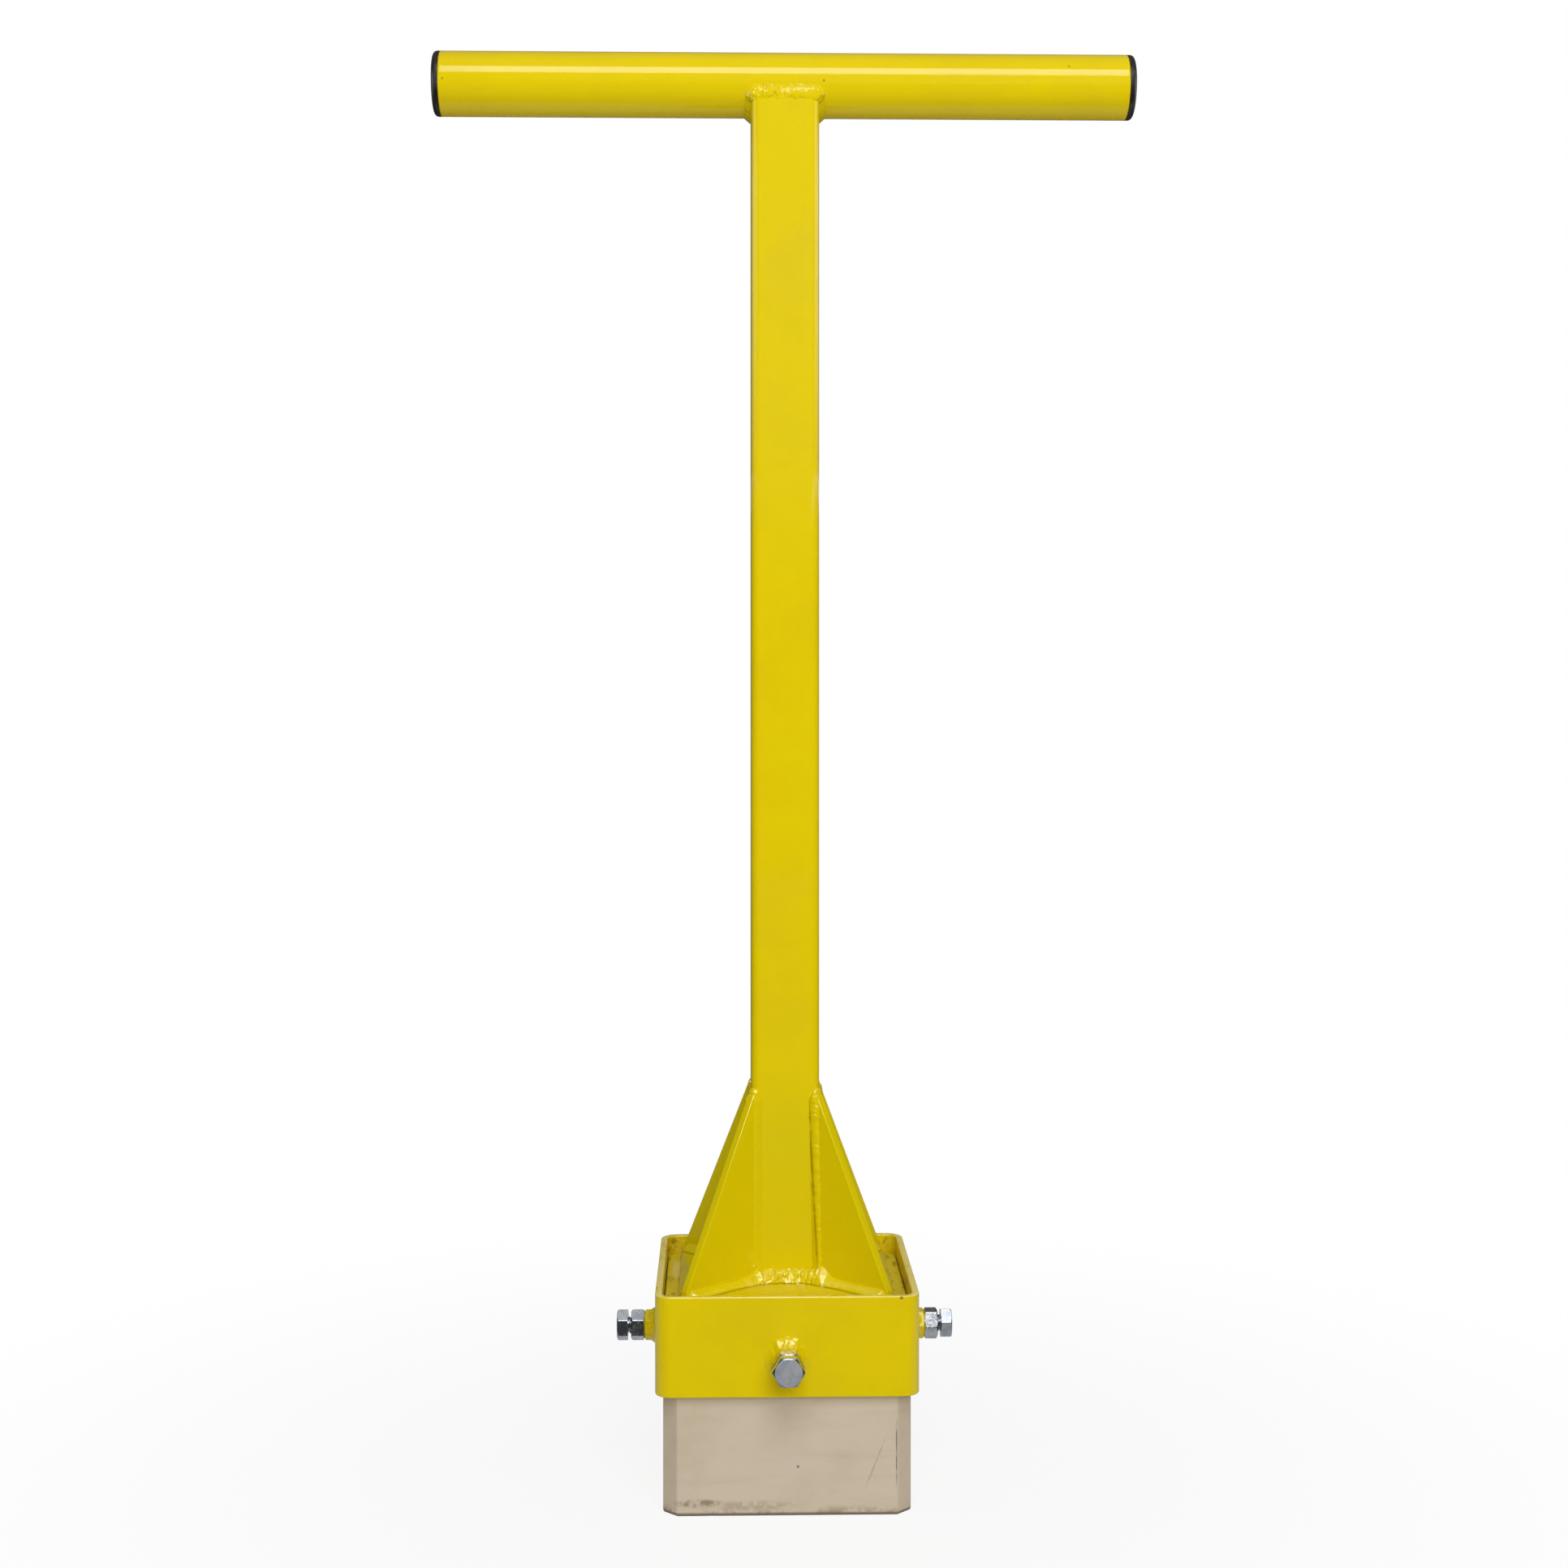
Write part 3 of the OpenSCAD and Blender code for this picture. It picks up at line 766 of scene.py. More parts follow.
def slab(corners, thick, corner_radius, edge):
    """Plate of a convex outline, as a grid about local Z from the middle of one face to the other's.

    Rows run from the face's middle out to the edge, round it in two quarter arcs with a flat between,
    and back.
    """
    outline, normals = rounded_outline(corners, corner_radius, arc_steps=4, straight=even(24))
    middle = outline.mean(0)
    bend = np.linspace(0.0, np.pi / 2, 5)
    flat_rise = thick / 2 - edge
    inset = np.append(edge * (1 - np.sin(bend)), 0.0)
    rise = np.append(flat_rise + edge * np.cos(bend), 0.9 * flat_rise)
    rim = outline[None] - inset[:, None, None] * normals[None]
    shrink = np.array([0.0, 0.5, 0.96])[:, None, None]
    face = middle + shrink * (rim[0][None] - middle)
    half = np.concatenate([face, rim])
    level = np.concatenate([np.full(len(face), thick / 2), rise])
    flat = np.concatenate([half, half[::-1]])
    level = np.concatenate([level, -level[::-1]])
    level = np.broadcast_to(level[:, None, None], (*flat.shape[:2], 1))
    return np.concatenate([flat, level], axis=2)


def top_plate():
    """Plate inside the collar, a slab with its outline in X and Y."""
    thick = plate_high[2] - plate_low[2]
    corners = square(plate_high[0], plate_high[1])
    points = slab(corners, thick, corner_radius=1.0 * MM, edge=0.6 * MM) + UP * (plate_top - thick / 2)
    finish_painted("top_plate_finished", [sheet(points, wrap_columns=True)], "top_plate")


def gusset(name, x_sign, y_sign):
    """Triangular plate on a diagonal: its outline runs out along it and up the shaft's corner."""
    diagonal = np.array([x_sign, y_sign, 0.0]) / math.sqrt(2)
    tip = gusset_end - GUSSET_THICK / 2
    root = SHAFT_CORNER_REACH + 0.1 * MM
    corners = [
        (root, 0.0),
        (tip, 0.0),
        (tip, GUSSET_NOSE),
        (root + GUSSET_TOP, gusset_height),
        (root, gusset_height),
    ]
    plate = slab(corners, GUSSET_THICK, corner_radius=0.8 * MM, edge=0.7 * MM)
    points = placed(plate, UP * plate_top, diagonal, UP, np.cross(diagonal, UP))
    finish_painted(f"{name}_finished", [sheet(points, wrap_columns=True)], name)


def collar():
    """Slice of square tube: a wall section with rounded edges carried round a rounded square.

    A window of grid cells is left out about each bolt hole, on both faces. A ring of quads fills it, from
    the window's border to the hole's circle at the same angles, and a short bore joins the two circles.
    """
    window = 9.0 * MM
    cells = 8
    straight_half = collar_half - COLLAR_CORNER
    in_window = np.linspace(-window, window, cells + 1)
    beside = np.linspace(window, straight_half, 9)[1:-1]
    cuts = np.concatenate([-beside[::-1], in_window, beside])
    share = (cuts + straight_half) / (2 * straight_half)
    section = square(collar_half, collar_half)
    outline, normals = rounded_outline(section, COLLAR_CORNER, arc_steps=10, straight=share)
    edge = 0.8 * MM
    margin = edge + 1 * MM
    bend = np.linspace(0.0, np.pi / 2, 4)
    base = collar_low[2]
    rim = collar_high[2]
    above = np.linspace(bolt_axis + window, rim - margin, 6)[1:]
    wall = np.concatenate([[base + margin], bolt_axis + in_window, above])
    edge_in = edge * np.cos(bend) - edge
    edge_rise = edge * np.sin(bend) - edge
    offset = np.concatenate([edge_in[::-1], 0 * wall, edge_in])
    height = np.concatenate([base - edge_rise[::-1], wall, rim + edge_rise])
    offset = np.concatenate([offset, -COLLAR_WALL - offset[::-1]])
    height = np.concatenate([height, height[::-1]])
    points = wall_grid(outline, normals, offset, height[:, None])

    middle = (points + np.roll(points, -1, axis=1) + np.roll(points, -1, axis=0)
              + np.roll(np.roll(points, -1, axis=0), -1, axis=1)) / 4
    level = np.abs(middle[..., 2] - bolt_axis) < window
    upright = np.abs(offset[:, None] + COLLAR_WALL / 2) > COLLAR_WALL / 2 - 0.01 * MM
    near_x = np.abs(middle[..., 0]) < window
    near_y = np.abs(middle[..., 1]) < window
    in_a_window = level & upright & (near_x | near_y)
    sheets = [sheet(points, wrap_rows=True, wrap_columns=True, keep=~in_a_window)]

    rising = in_window[:-1]
    falling = in_window[:0:-1]
    far = np.full(cells, window)
    border = np.concatenate([
        np.stack([rising, -far], axis=1),
        np.stack([far, rising], axis=1),
        np.stack([falling, far], axis=1),
        np.stack([-far, falling], axis=1),
    ])
    circle = COLLAR_HOLE * border / np.linalg.norm(border, axis=1, keepdims=True)
    share = np.linspace(0.0, 1.0, 4)[:, None, None]
    ring = circle * (1 - share) + border * share
    flat = np.stack([0 * ring[..., 0], ring[..., 0], ring[..., 1]], axis=-1)
    for axis in OUTWARD.values():
        along = np.cross(UP, axis)
        circles = []
        for depth in (collar_half, COLLAR_INNER):
            face = placed(flat, axis * depth + UP * bolt_axis, axis, along, UP)
            circles.append(face[0])
            sheets.append(sheet(face, wrap_columns=True))
        sheets.append(sheet(np.stack(circles), wrap_columns=True))
    finish_painted("collar_finished", sheets, "collar")


# Nuts and bolts
def hexagon(turn):
    """Angles and radii of a hexagon with slightly rounded corners.

    The radius is half the width across flats over a high-power mean of the cosines to the six flats, and
    the angles crowd towards the corners.
    """
    half_sector = np.array([0.0, 0.012, 0.03, 0.06, 0.12, 0.25, 0.38])
    sector = np.concatenate([half_sector, [0.5], 1 - half_sector[:0:-1]])
    angle = (np.arange(6)[:, None] + sector[None]).ravel() * np.pi / 3
    flats = (np.arange(6) + 0.5) * np.pi / 3
    toward = np.maximum(np.cos(angle[:, None] - flats[None]), 0.0)
    radius = HEX_FLATS / 2 / (toward ** HEX_POWER).sum(1) ** (1 / HEX_POWER)
    return angle + math.radians(turn), radius


def hex_rows(radius, low, high, both_faces):
    """Rows of a hexagon's wall: face circle, the curve where the chamfer meets the flats, and back."""
    drop = np.maximum(radius - HEX_FACE, 0.0) * math.tan(HEX_CHAMFER)
    face = np.full_like(radius, HEX_FACE)
    rows = [(face, np.full_like(radius, high)), (radius, high - drop)]
    if both_faces:
        rows += [(radius, low + drop), (face, np.full_like(radius, low))]
    else:
        rows += [(radius, np.full_like(radius, low))]
    return rows


def turned_rows(angle, rows):
    """Grid of rows, each a radius and a height at every angle."""
    radius = np.stack([row[0] for row in rows])
    height = np.stack([row[1] for row in rows])
    return np.stack([radius * np.cos(angle), radius * np.sin(angle), height], axis=-1)


def nut(name, side, start, length, turn, material, body):
    """Hexagon nut: the wall's rows closed by a bore with a small countersink at each end."""
    angle, radius = hexagon(turn)
    ones = np.ones_like(radius)
    sink = 0.7 * MM
    bore = NUT_BORE * ones
    mouth = bore + sink * ones
    rows = hex_rows(radius, 0.0, length, both_faces=True)
    rows += [(mouth, 0 * ones), (bore, sink * ones)]
    rows += [(bore, (length - sink) * ones), (mouth, length * ones)]
    points = at_side(turned_rows(angle, rows), side, start)
    sheets = [sheet(points, wrap_rows=True, wrap_columns=True)]
    finish_piece(f"{name}_finished", sheets, material, body, [name], crease=25.0)


def clamp_bolt(side):
    """Hexagon bolt: chamfered head, and a shank whose radius follows the thread.

    The thread's depth is a triangle wave of height over pitch less angle over a full turn, clipped at
    crest and root, and the tip is turned down by a cone.
    """
    angle, radius = hexagon(HEAD_TURN[side])
    ones = np.ones_like(radius)
    head_top = bolt_high[0]
    tip = bolt_low[0]
    head_base = head_top - HEAD_HEIGHT
    rows = [(0 * ones, head_top * ones), (0.5 * HEX_FACE * ones, head_top * ones)]
    rows += hex_rows(radius, head_base, head_top, both_faces=False)
    height = np.linspace(head_base, tip, 161)
    wave = np.abs(2 * ((height[:, None] / THREAD_PITCH - angle[None] / (2 * np.pi)) % 1.0) - 1)
    thread = THREAD_RADIUS - THREAD_DEPTH * (1 - np.clip(1.3 * wave - 0.12, 0.0, 1.0))
    cone = THREAD_RADIUS - 1.0 * MM + (height - tip)[:, None]
    thread = np.minimum(thread, cone)
    rows += [(r, h * ones) for r, h in zip(thread, height)]
    rows += [(0 * ones, tip * ones)]
    points = at_side(turned_rows(angle, rows), side, 0.0)
    sheets = [sheet(points, wrap_columns=True)]
    name = f"{side}_clamp_bolt"
    body = f"{side}_bolt"
    finish_piece(f"{name}_finished", sheets, ZINC_PLATING, body, [name], crease=25.0)


# Welds
RIPPLE_LENGTH = 2.9 * MM
LUMP_LENGTH = 9 * MM
WANDER_LENGTH = 5 * MM
BEAD_SINK = 0.4 * MM
BEAD_END = 4 * MM
BEAD_STEP = 0.5 * MM


def lumps(share, seed, waves):
    """Unevenness along a bead, about -1 to 1: sines of whole waves with seeded sizes and phases."""
    rng = np.random.default_rng(seed)
    count = np.arange(1, waves + 1)[:, None]
    phase = rng.uniform(0, 2 * np.pi, (waves, 1))
    size = rng.uniform(0.4, 1.0, (waves, 1))
    return (size * np.sin(2 * np.pi * count * share[None] + phase)).sum(0) / math.sqrt(waves)


def length_along(path, closed):
    """Distance along a path at each of its points, and the whole length."""
    step = np.linalg.norm(np.diff(path, axis=0), axis=1)
    whole = step.sum() + (np.linalg.norm(path[0] - path[-1]) if closed else 0.0)
    return np.concatenate([[0.0], np.cumsum(step)]), whole


def blobs(at, share, seed, waves):
    """Unevenness over a bead's face, about -1 to 1: seeded sines that cross it at different slants."""
    rng = np.random.default_rng(seed)
    count = 10
    along = rng.integers(max(1, waves // 3), waves + 1, (count, 1, 1))
    slant = rng.uniform(-1.0, 1.0, (count, 1, 1))
    phase = rng.uniform(0, 2 * np.pi, (count, 1, 1))
    turns = along * at[None, :, None] + slant * share[None, None]
    return np.sin(2 * np.pi * turns + phase).sum(0) / 3


def bead_relief(distance, whole, share, seed, ripple):
    """Size of a bead over its surface, from the distance along it and the share across its face.

    Slow lumps along it, times crescent ripples that come and go and lag towards both toes, and blobs.
    Both are weaker at the toes.
    """
    at = distance / whole
    long_waves = max(3, round(whole / LUMP_LENGTH))
    short_waves = max(4, round(whole / WANDER_LENGTH))
    ripple = np.broadcast_to(ripple, at.shape)[:, None]
    swell = 1 + 0.5 * ripple * lumps(at, seed, long_waves)[:, None]
    strength = np.clip(0.5 + 0.7 * lumps(at, seed + 1, long_waves), 0.0, 1.2)
    wander = 0.5 * lumps(at, seed + 2, short_waves)
    lag = 0.5 * (2 * share - 1) ** 2
    ripples = round(whole / RIPPLE_LENGTH)
    turns = ripples * at[:, None] + wander[:, None] + lag[None]
    crescent = np.abs(np.sin(np.pi * turns)) - 0.6
    uneven = strength[:, None] * crescent + 0.7 * blobs(at, share, seed + 3, round(0.7 * ripples))
    return swell * (1 + ripple * uneven * (0.35 + 0.65 * np.sin(np.pi * share)))


def fillet_bead(path, across, up, leg_across, leg_up, seed, ripple, closed=False, out=None, bulge=0.0,
                fullness=0.6):
    """Weld in a corner: a section of the two walls' toes and a bulging face, carried along the corner.

    The face lies between the straight line and the quarter ellipse from toe to toe, by its fullness, and
    is pushed out by a sine where the bead bulges, all of it times the relief. The section is closed by a
    point sunk behind the corner, and the ends of an open bead die away.
    """
    if out is None:
        out = (across + up) / np.linalg.norm(across + up, axis=1, keepdims=True)
    distance, whole = length_along(path, closed)
    share = np.linspace(0.0, 1.0, 15)
    size = bead_relief(distance, whole, share, seed, ripple)
    if not closed:
        reach = np.clip(np.minimum(distance, whole - distance) / BEAD_END, 0.0, 1.0)
        size = size * np.sqrt(1 - (1 - reach) ** 2)[:, None]
    toward = (1 - fullness) * (1 - share) + fullness * np.cos(share * np.pi / 2)
    rise = (1 - fullness) * share + fullness * np.sin(share * np.pi / 2)
    legs = [np.broadcast_to(leg, distance.shape)[:, None] for leg in (leg_across, leg_up, bulge)]
    face = path[:, None] - 0.3 * BEAD_SINK * out[:, None]
    face = face + (size * toward * legs[0])[..., None] * across[:, None]
    face = face + (size * rise * legs[1])[..., None] * up[:, None]
    face = face + (size * np.sin(np.pi * share) * legs[2])[..., None] * out[:, None]
    points = np.concatenate([(path - BEAD_SINK * out)[:, None], face], axis=1)
    if not closed:
        points[[0, -1]] = points[[0, -1], :1]
    return sheet(points, wrap_rows=closed, wrap_columns=True)


def weld_lump(centre, axes, seed):
    """Blob where a bead stops: an ellipsoid on three half axes, made uneven by lumps round it."""
    turn = np.linspace(0.0, 1.0, 40, endpoint=False)
    tilt = np.linspace(0.0, np.pi, 25)
    uneven = 1 + 0.05 * lumps(turn, seed, 4)[None] * np.sin(tilt)[:, None]
    local = np.stack([np.sin(tilt)[:, None] * np.cos(2 * np.pi * turn)[None],
                      np.sin(tilt)[:, None] * np.sin(2 * np.pi * turn)[None],
                      np.broadcast_to(np.cos(tilt)[:, None], uneven.shape)], axis=-1)
    return sheet(centre + (local * uneven[..., None]) @ np.asarray(axes), wrap_columns=True)


def resampled(points, spacing):
    """Points at an even spacing along a polyline."""
    distance, whole = length_along(points, False)
    at = np.linspace(0.0, whole, round(whole / spacing) + 1)
    return np.stack([np.interp(at, distance, points[:, axis]) for axis in range(3)], axis=1)


def soft_bend(before, corner, after, setback):
    """Quadratic curve that rounds a corner, from a set distance before it to the same after it."""
    start = corner + (before - corner) / np.linalg.norm(before - corner) * setback
    end = corner + (after - corner) / np.linalg.norm(after - corner) * setback
    t = np.linspace(0.0, 1.0, 12)[:, None]
    return start * (1 - t) ** 2 + corner * 2 * t * (1 - t) + end * t ** 2


def turned_about_shaft(vectors, quarter_turns):
    """Vectors turned about Z by quarter turns."""
    angle = quarter_turns * np.pi / 2
    cosine = math.cos(angle)
    sine = math.sin(angle)
    return vectors @ np.array([[cosine, sine, 0], [-sine, cosine, 0], [0, 0, 1]])


def foot_weld(side, quarter_turns, seed):
    """Welds on one side of the shaft's foot: a bead along gussets and shaft, two uprights and a lump.

    The bead's path runs in along one gusset's wall, across the shaft's face and out along the other's.
    Its normal in plan is the path's direction turned a quarter to the right. It is fuller along the
    shaft, wider at the shaft's corners, and runs up in a tongue at the second corner, all by bell curves
    of x. The uprights follow the corners of gussets and shaft, with legs that change with the height.
    """
    diagonal = np.array([-1.0, -1.0, 0.0]) / math.sqrt(2)
    half_thick = GUSSET_THICK / 2
    inner = np.array([-(shaft_half - half_thick * math.sqrt(2)), -shaft_half, plate_top])
    far = (gusset_end - half_thick - 1.0 * MM) / math.sqrt(2)
    shift = half_thick / math.sqrt(2)
    outer = np.array([-far + shift, -far - shift, plate_top])
    flip = np.array([-1.0, 1.0, 1.0])
    corners = [outer, inner, inner * flip, outer * flip]
    bends = [soft_bend(*three, setback=6 * MM) for three in (corners[:3], corners[1:])]
    path = resampled(np.concatenate([corners[:1], *bends, corners[3:]]), BEAD_STEP)
    direction = np.gradient(path, axis=0)
    direction /= np.linalg.norm(direction, axis=1, keepdims=True)
    x = path[:, 0]
    middle = np.exp(-(x / shaft_half) ** 4)
    at_corner = np.exp(-((np.abs(x) - shaft_half) / (9 * MM)) ** 2)
    tongue = np.exp(-((x - shaft_half - 1 * MM) / (4 * MM)) ** 2)
    beads = [{
        "path": path,
        "across": np.stack([direction[:, 1], -direction[:, 0], 0 * x], axis=1),
        "up": np.broadcast_to(UP, path.shape),
        "leg_across": (5.4 + 1.2 * middle + 2.0 * at_corner) * MM,
        "leg_up": (4.8 + 3.2 * middle + 5.0 * tongue) * MM,
        "seed": seed,
        "ripple": 0.015 + 0.115 * middle,
    }]

    upright_ends = np.stack([inner + UP * 1.0 * MM, inner + UP * (gusset_height + 0.5 * MM)])
    share = np.linspace(0.0, 1.0, len(resampled(upright_ends, BEAD_STEP)))
    first_upright = {
        "leg_across": 3.4 * MM,
        "leg_up": (2.6 + 0.6 * share) * MM,
        "seed": seed + 10,
        "ripple": 0.06,
        "fullness": 0.5,
    }
    second_upright = {
        "leg_across": (6.8 - 2.6 * share) * MM,
        "leg_up": (0.5 + 2.4 * share) * MM,
        "seed": seed + 11,
        "ripple": 0.12,
        "bulge": 1.0 * MM,
        "fullness": 0.9,
    }
    for upright, flipped in ((first_upright, np.ones(3)), (second_upright, flip)):
        rise = resampled(upright_ends * flipped, BEAD_STEP)
        upright["path"] = rise
        upright["across"] = np.broadcast_to(diagonal * flipped, rise.shape)
        upright["up"] = np.broadcast_to(OUTWARD["right"] * flipped, rise.shape)
        beads.append(upright)
    sheets = []
    for bead in beads:
        for vectors in ("path", "across", "up"):
            bead[vectors] = turned_about_shaft(bead[vectors], quarter_turns)
        sheets.append(fillet_bead(**bead))

    lump_axes = np.stack([2.4 * MM * diagonal, 3.8 * MM * np.cross(UP, diagonal), 4.2 * MM * UP])
    lump = diagonal * SHAFT_CORNER_REACH + UP * (plate_top + gusset_height - 0.6 * MM)
    turned = (turned_about_shaft(vectors, quarter_turns) for vectors in (lump, lump_axes))
    sheets.append(weld_lump(*turned, seed + 20))
    finish_weld(f"{side}_foot_weld", sheets)


def seam_welds():
    """Fillets on the plate along the collar's front and back walls."""
    sheets = []
    for index, y_sign in enumerate((-1.0, 1.0)):
        wall = y_sign * COLLAR_INNER
        ends = np.array([[-plate_high[0], wall, plate_top], [plate_high[0], wall, plate_top]])
        path = resampled(ends, 0.6 * MM)
        across = np.broadcast_to(np.array([0.0, -y_sign, 0.0]), path.shape)
        up = np.broadcast_to(UP, path.shape)
        bead = fillet_bead(path, across, up, leg_across=4.2 * MM, leg_up=3.8 * MM,
                           seed=SEAM_WELD_SEED + index, ripple=0.12)
        sheets.append(bead)
    finish_weld("seam_welds", sheets)


def nut_welds():
    """Bead round each welded nut: a fillet carried round a circle on the collar's wall, uneven on top."""
    sheets = []
    bead_radius = 8.2 * MM
    angle = np.linspace(0.0, 2 * np.pi, 120, endpoint=False)[:, None]
    for index, axis in enumerate(OUTWARD.values()):
        spoke = -np.cos(angle) * UP + np.sin(angle) * np.cross(UP, axis)
        path = axis * collar_half + UP * bolt_axis + bead_radius * spoke
        up = np.broadcast_to(axis, path.shape)
        ripple = 0.03 + 0.12 * np.clip(spoke @ UP, 0.0, 1.0) ** 2
        bead = fillet_bead(path, spoke, up, leg_across=5.6 * MM, leg_up=6.4 * MM,
                           seed=NUT_WELD_SEED + index, ripple=ripple, closed=True, fullness=-0.7)
        sheets.append(bead)
    finish_weld("nut_welds", sheets)


def handle_weld():
    """Saddle weld: a bead carried once round the joint of shaft and handle.

    The loop is a rounded rectangle in plan, and its height follows the handle's under surface up to the
    level where the bead bridges from the shaft's front and back faces to the tube. One toe lies down the
    shaft, the other out along the tube at the sides and up it in front and behind.
    """
    loop = square(shaft_half, shaft_half - 1.0 * MM)
    plan, normals = rounded_outline(loop, radius=4.0 * MM, arc_steps=14, straight=even(70))
    height = handle_axis - np.sqrt(np.maximum(handle_radius ** 2 - plan[:, 1] ** 2, 0.0))
    bridge_drop = 7.6 * MM
    height = np.minimum(height, handle_axis - bridge_drop)
    path = np.concatenate([plan, height[:, None]], axis=1)
    out = np.concatenate([normals, 0 * normals[:, :1]], axis=1)
    in_front = np.abs(normals[:, 1])
    on_tube = normals[:, :1] * OUTWARD["right"] + in_front[:, None] * UP
    on_tube /= np.linalg.norm(on_tube, axis=1, keepdims=True)
    bead = fillet_bead(
        path,
        across=on_tube,
        up=np.broadcast_to(-UP, path.shape),
        leg_across=(4.0 + 0.6 * in_front) * MM,
        leg_up=(3.4 + 3.1 * in_front) * MM,
        seed=HANDLE_WELD_SEED,
        ripple=0.03 + 0.09 * in_front ** 2,
        closed=True,
        out=out,
        bulge=1.9 * in_front * MM,
        fullness=0.1 + 0.5 * in_front[:, None],
    )
    finish_weld("handle_weld", [bead])


# Tamping block
def tamping_block():
    """Chamfered square bar: an octagon with soft corners carried up Z, closed to the middle of both faces.

    The lower edge is worn back by seeded lumps that fade out with height.
    """
    half = block_high[0]
    cut = half - BLOCK_CHAMFER
    right_corners = [(cut, -half), (half, -cut), (half, cut), (cut, half)]
    corners = right_corners + [(-x, -y) for x, y in right_corners]
    outline, normals = rounded_outline(corners, radius=2.0 * MM, arc_steps=4, straight=even(40))
    bend = np.linspace(0.0, np.pi / 2, 6)
    edge = 1.4 * MM
    edge_row = 2.4 * MM
    first_row = 4 * MM
    wear_depth = 0.9 * MM
    wear_height = 7 * MM
    top = block_high[2]
    low_edge = edge - edge * np.cos(bend)
    top_edge = top - edge + edge * np.sin(bend)
    side = np.linspace(first_row, top - first_row, 30)
    wall = np.concatenate([[edge_row], side, [top - edge_row]])
    height = np.concatenate([low_edge, wall, top_edge])
    offset = np.concatenate([edge * np.sin(bend) - edge, 0 * wall, edge * np.cos(bend) - edge])
    points = wall_grid(outline, normals, offset, height[:, None])
    share = np.arange(len(outline)) / len(outline)
    wear = np.clip(lumps(share, BLOCK_WEAR_SEED, 60) - 0.5, 0.0, 1.5) * wear_depth
    fade = np.clip(1 - height / wear_height, 0.0, 1.0)[:, None] ** 1.5
    points[..., :2] -= (fade * wear)[..., None] * normals[None]
    points[..., 2] += fade * wear * 0.5 * (height[:, None] < edge)
    shrink = np.array([0.0, 0.35, 0.7, 0.95])[:, None, None]
    toward_middle = np.concatenate([shrink, shrink, np.ones_like(shrink)], axis=2)
    sole = points[0] * toward_middle
    crown = points[-1] * toward_middle
    sole[..., 2] = points[0][:, 2].min()
    points = np.concatenate([sole, points, crown[::-1]])
    finish_piece("tamping_block_finished", [sheet(points, wrap_columns=True)], BLOCK_PLASTIC, "block",
                 ["tamping_block"])


# Build every piece
shaft()
handle()
collar()
top_plate()
tamping_block()
seam_welds()
nut_welds()
handle_weld()
weld_nut_length = nut_high[0] - nut_low[0]
lock_nut_length = lock_high[0] - lock_low[0]
for turns, side in enumerate(("front", "right", "back", "left")):
    foot_weld(side, turns, FOOT_WELD_SEED + 5 * turns)
    nut(f"{side}_weld_nut", side, nut_low[0], weld_nut_length, WELD_NUT_TURN[side],
        TUBE_PAINT, "frame")
    nut(f"{side}_lock_nut", side, lock_low[0], lock_nut_length, LOCK_NUT_TURN[side],
        ZINC_PLATING, f"{side}_nut")
    clamp_bolt(side)
for side in ("left", "right"):
    end_cap(side)
for depth_name, y_sign in (("front", -1.0), ("back", 1.0)):
    for side_name, x_sign in (("left", -1.0), ("right", 1.0)):
        gusset(f"{depth_name}_{side_name}_gusset", x_sign, y_sign)


# Stage: the floor's and the room's reach, and cards near the tamper that only gloss sees, in metres
FLOOR_HALF = 9.0
ROOM_REACH = 3.2
ROOM_HEIGHTS = (-0.5, 4.5)
CEILING_HEIGHT = 3.4
DARK_FLOOR_HEIGHT = 0.4 * MM
SIDE_CARD_X = 0.6
SIDE_CARD_HEIGHTS = (0.45, 0.97)
LEFT_CARD_DEPTHS = (-0.96, 0.17)
RIGHT_CARD_DEPTHS = (-0.67, 0.32)
FOOT_CARD_HEIGHT = 0.36
BOLT_CARD_HEIGHT = 0.60

# Lamps' places in metres, and the level of the even light
KEY_PLACE = (0.12, -1.75, 2.33)
FILL_PLACE = (0.35, -2.2, 1.20)
ROOM_LIGHT = 0.31

# Camera, fitted to the photograph's edges; angles in degrees
CAMERA_PLACE = (-34.13 * MM, -1402.16 * MM, 479.04 * MM)
CAMERA_TILT_DOWN = 0.494
CAMERA_TURN_RIGHT = 1.383
CAMERA_LENS = 54.205
CAMERA_SHIFT = -0.06


def empty_material(name):
    """New material without a shader: its node tree, the surface's input and Object coordinates."""
    material = bpy.data.materials.new(name)
    material.use_nodes = True
    tree = material.node_tree
    tree.nodes.remove(tree.nodes["Principled BSDF"])
    place = tree.nodes.new("ShaderNodeTexCoord").outputs["Object"]
    return material, tree, tree.nodes["Material Output"].inputs["Surface"], place


def backdrop_material():
    """White where camera, gloss or glass sees it, mixed near the tamper with paper that takes a shadow."""
    material, tree, surface, place = empty_material("white_floor")
    away = put(tree, "ShaderNodeVectorMath", {0: place}, operation="LENGTH").outputs["Value"]
    seen = calc(tree, "MULTIPLY", seen_directly(tree), ramp(tree, away, 0.08, 0.7, 0.88, 1.0))
    paper = put(tree, "ShaderNodeBsdfDiffuse", {"Color": (0.80, 0.80, 0.80, 1.0)}).outputs[0]
    glow = put(tree, "ShaderNodeEmission", {"Color": (1.0, 1.0, 1.0, 1.0), "Strength": 1.0}).outputs[0]
    both = put(tree, "ShaderNodeMixShader", {0: seen, 1: paper, 2: glow}).outputs[0]
    tree.links.new(both, surface)
    return material


def seen_directly(tree):
    """One for camera, glossy and transmission rays, and none for the rest."""
    rays = tree.nodes.new("ShaderNodeLightPath").outputs
    direct = calc(tree, "MAXIMUM", rays["Is Camera Ray"], rays["Is Glossy Ray"])
    return calc(tree, "MAXIMUM", direct, rays["Is Transmission Ray"])


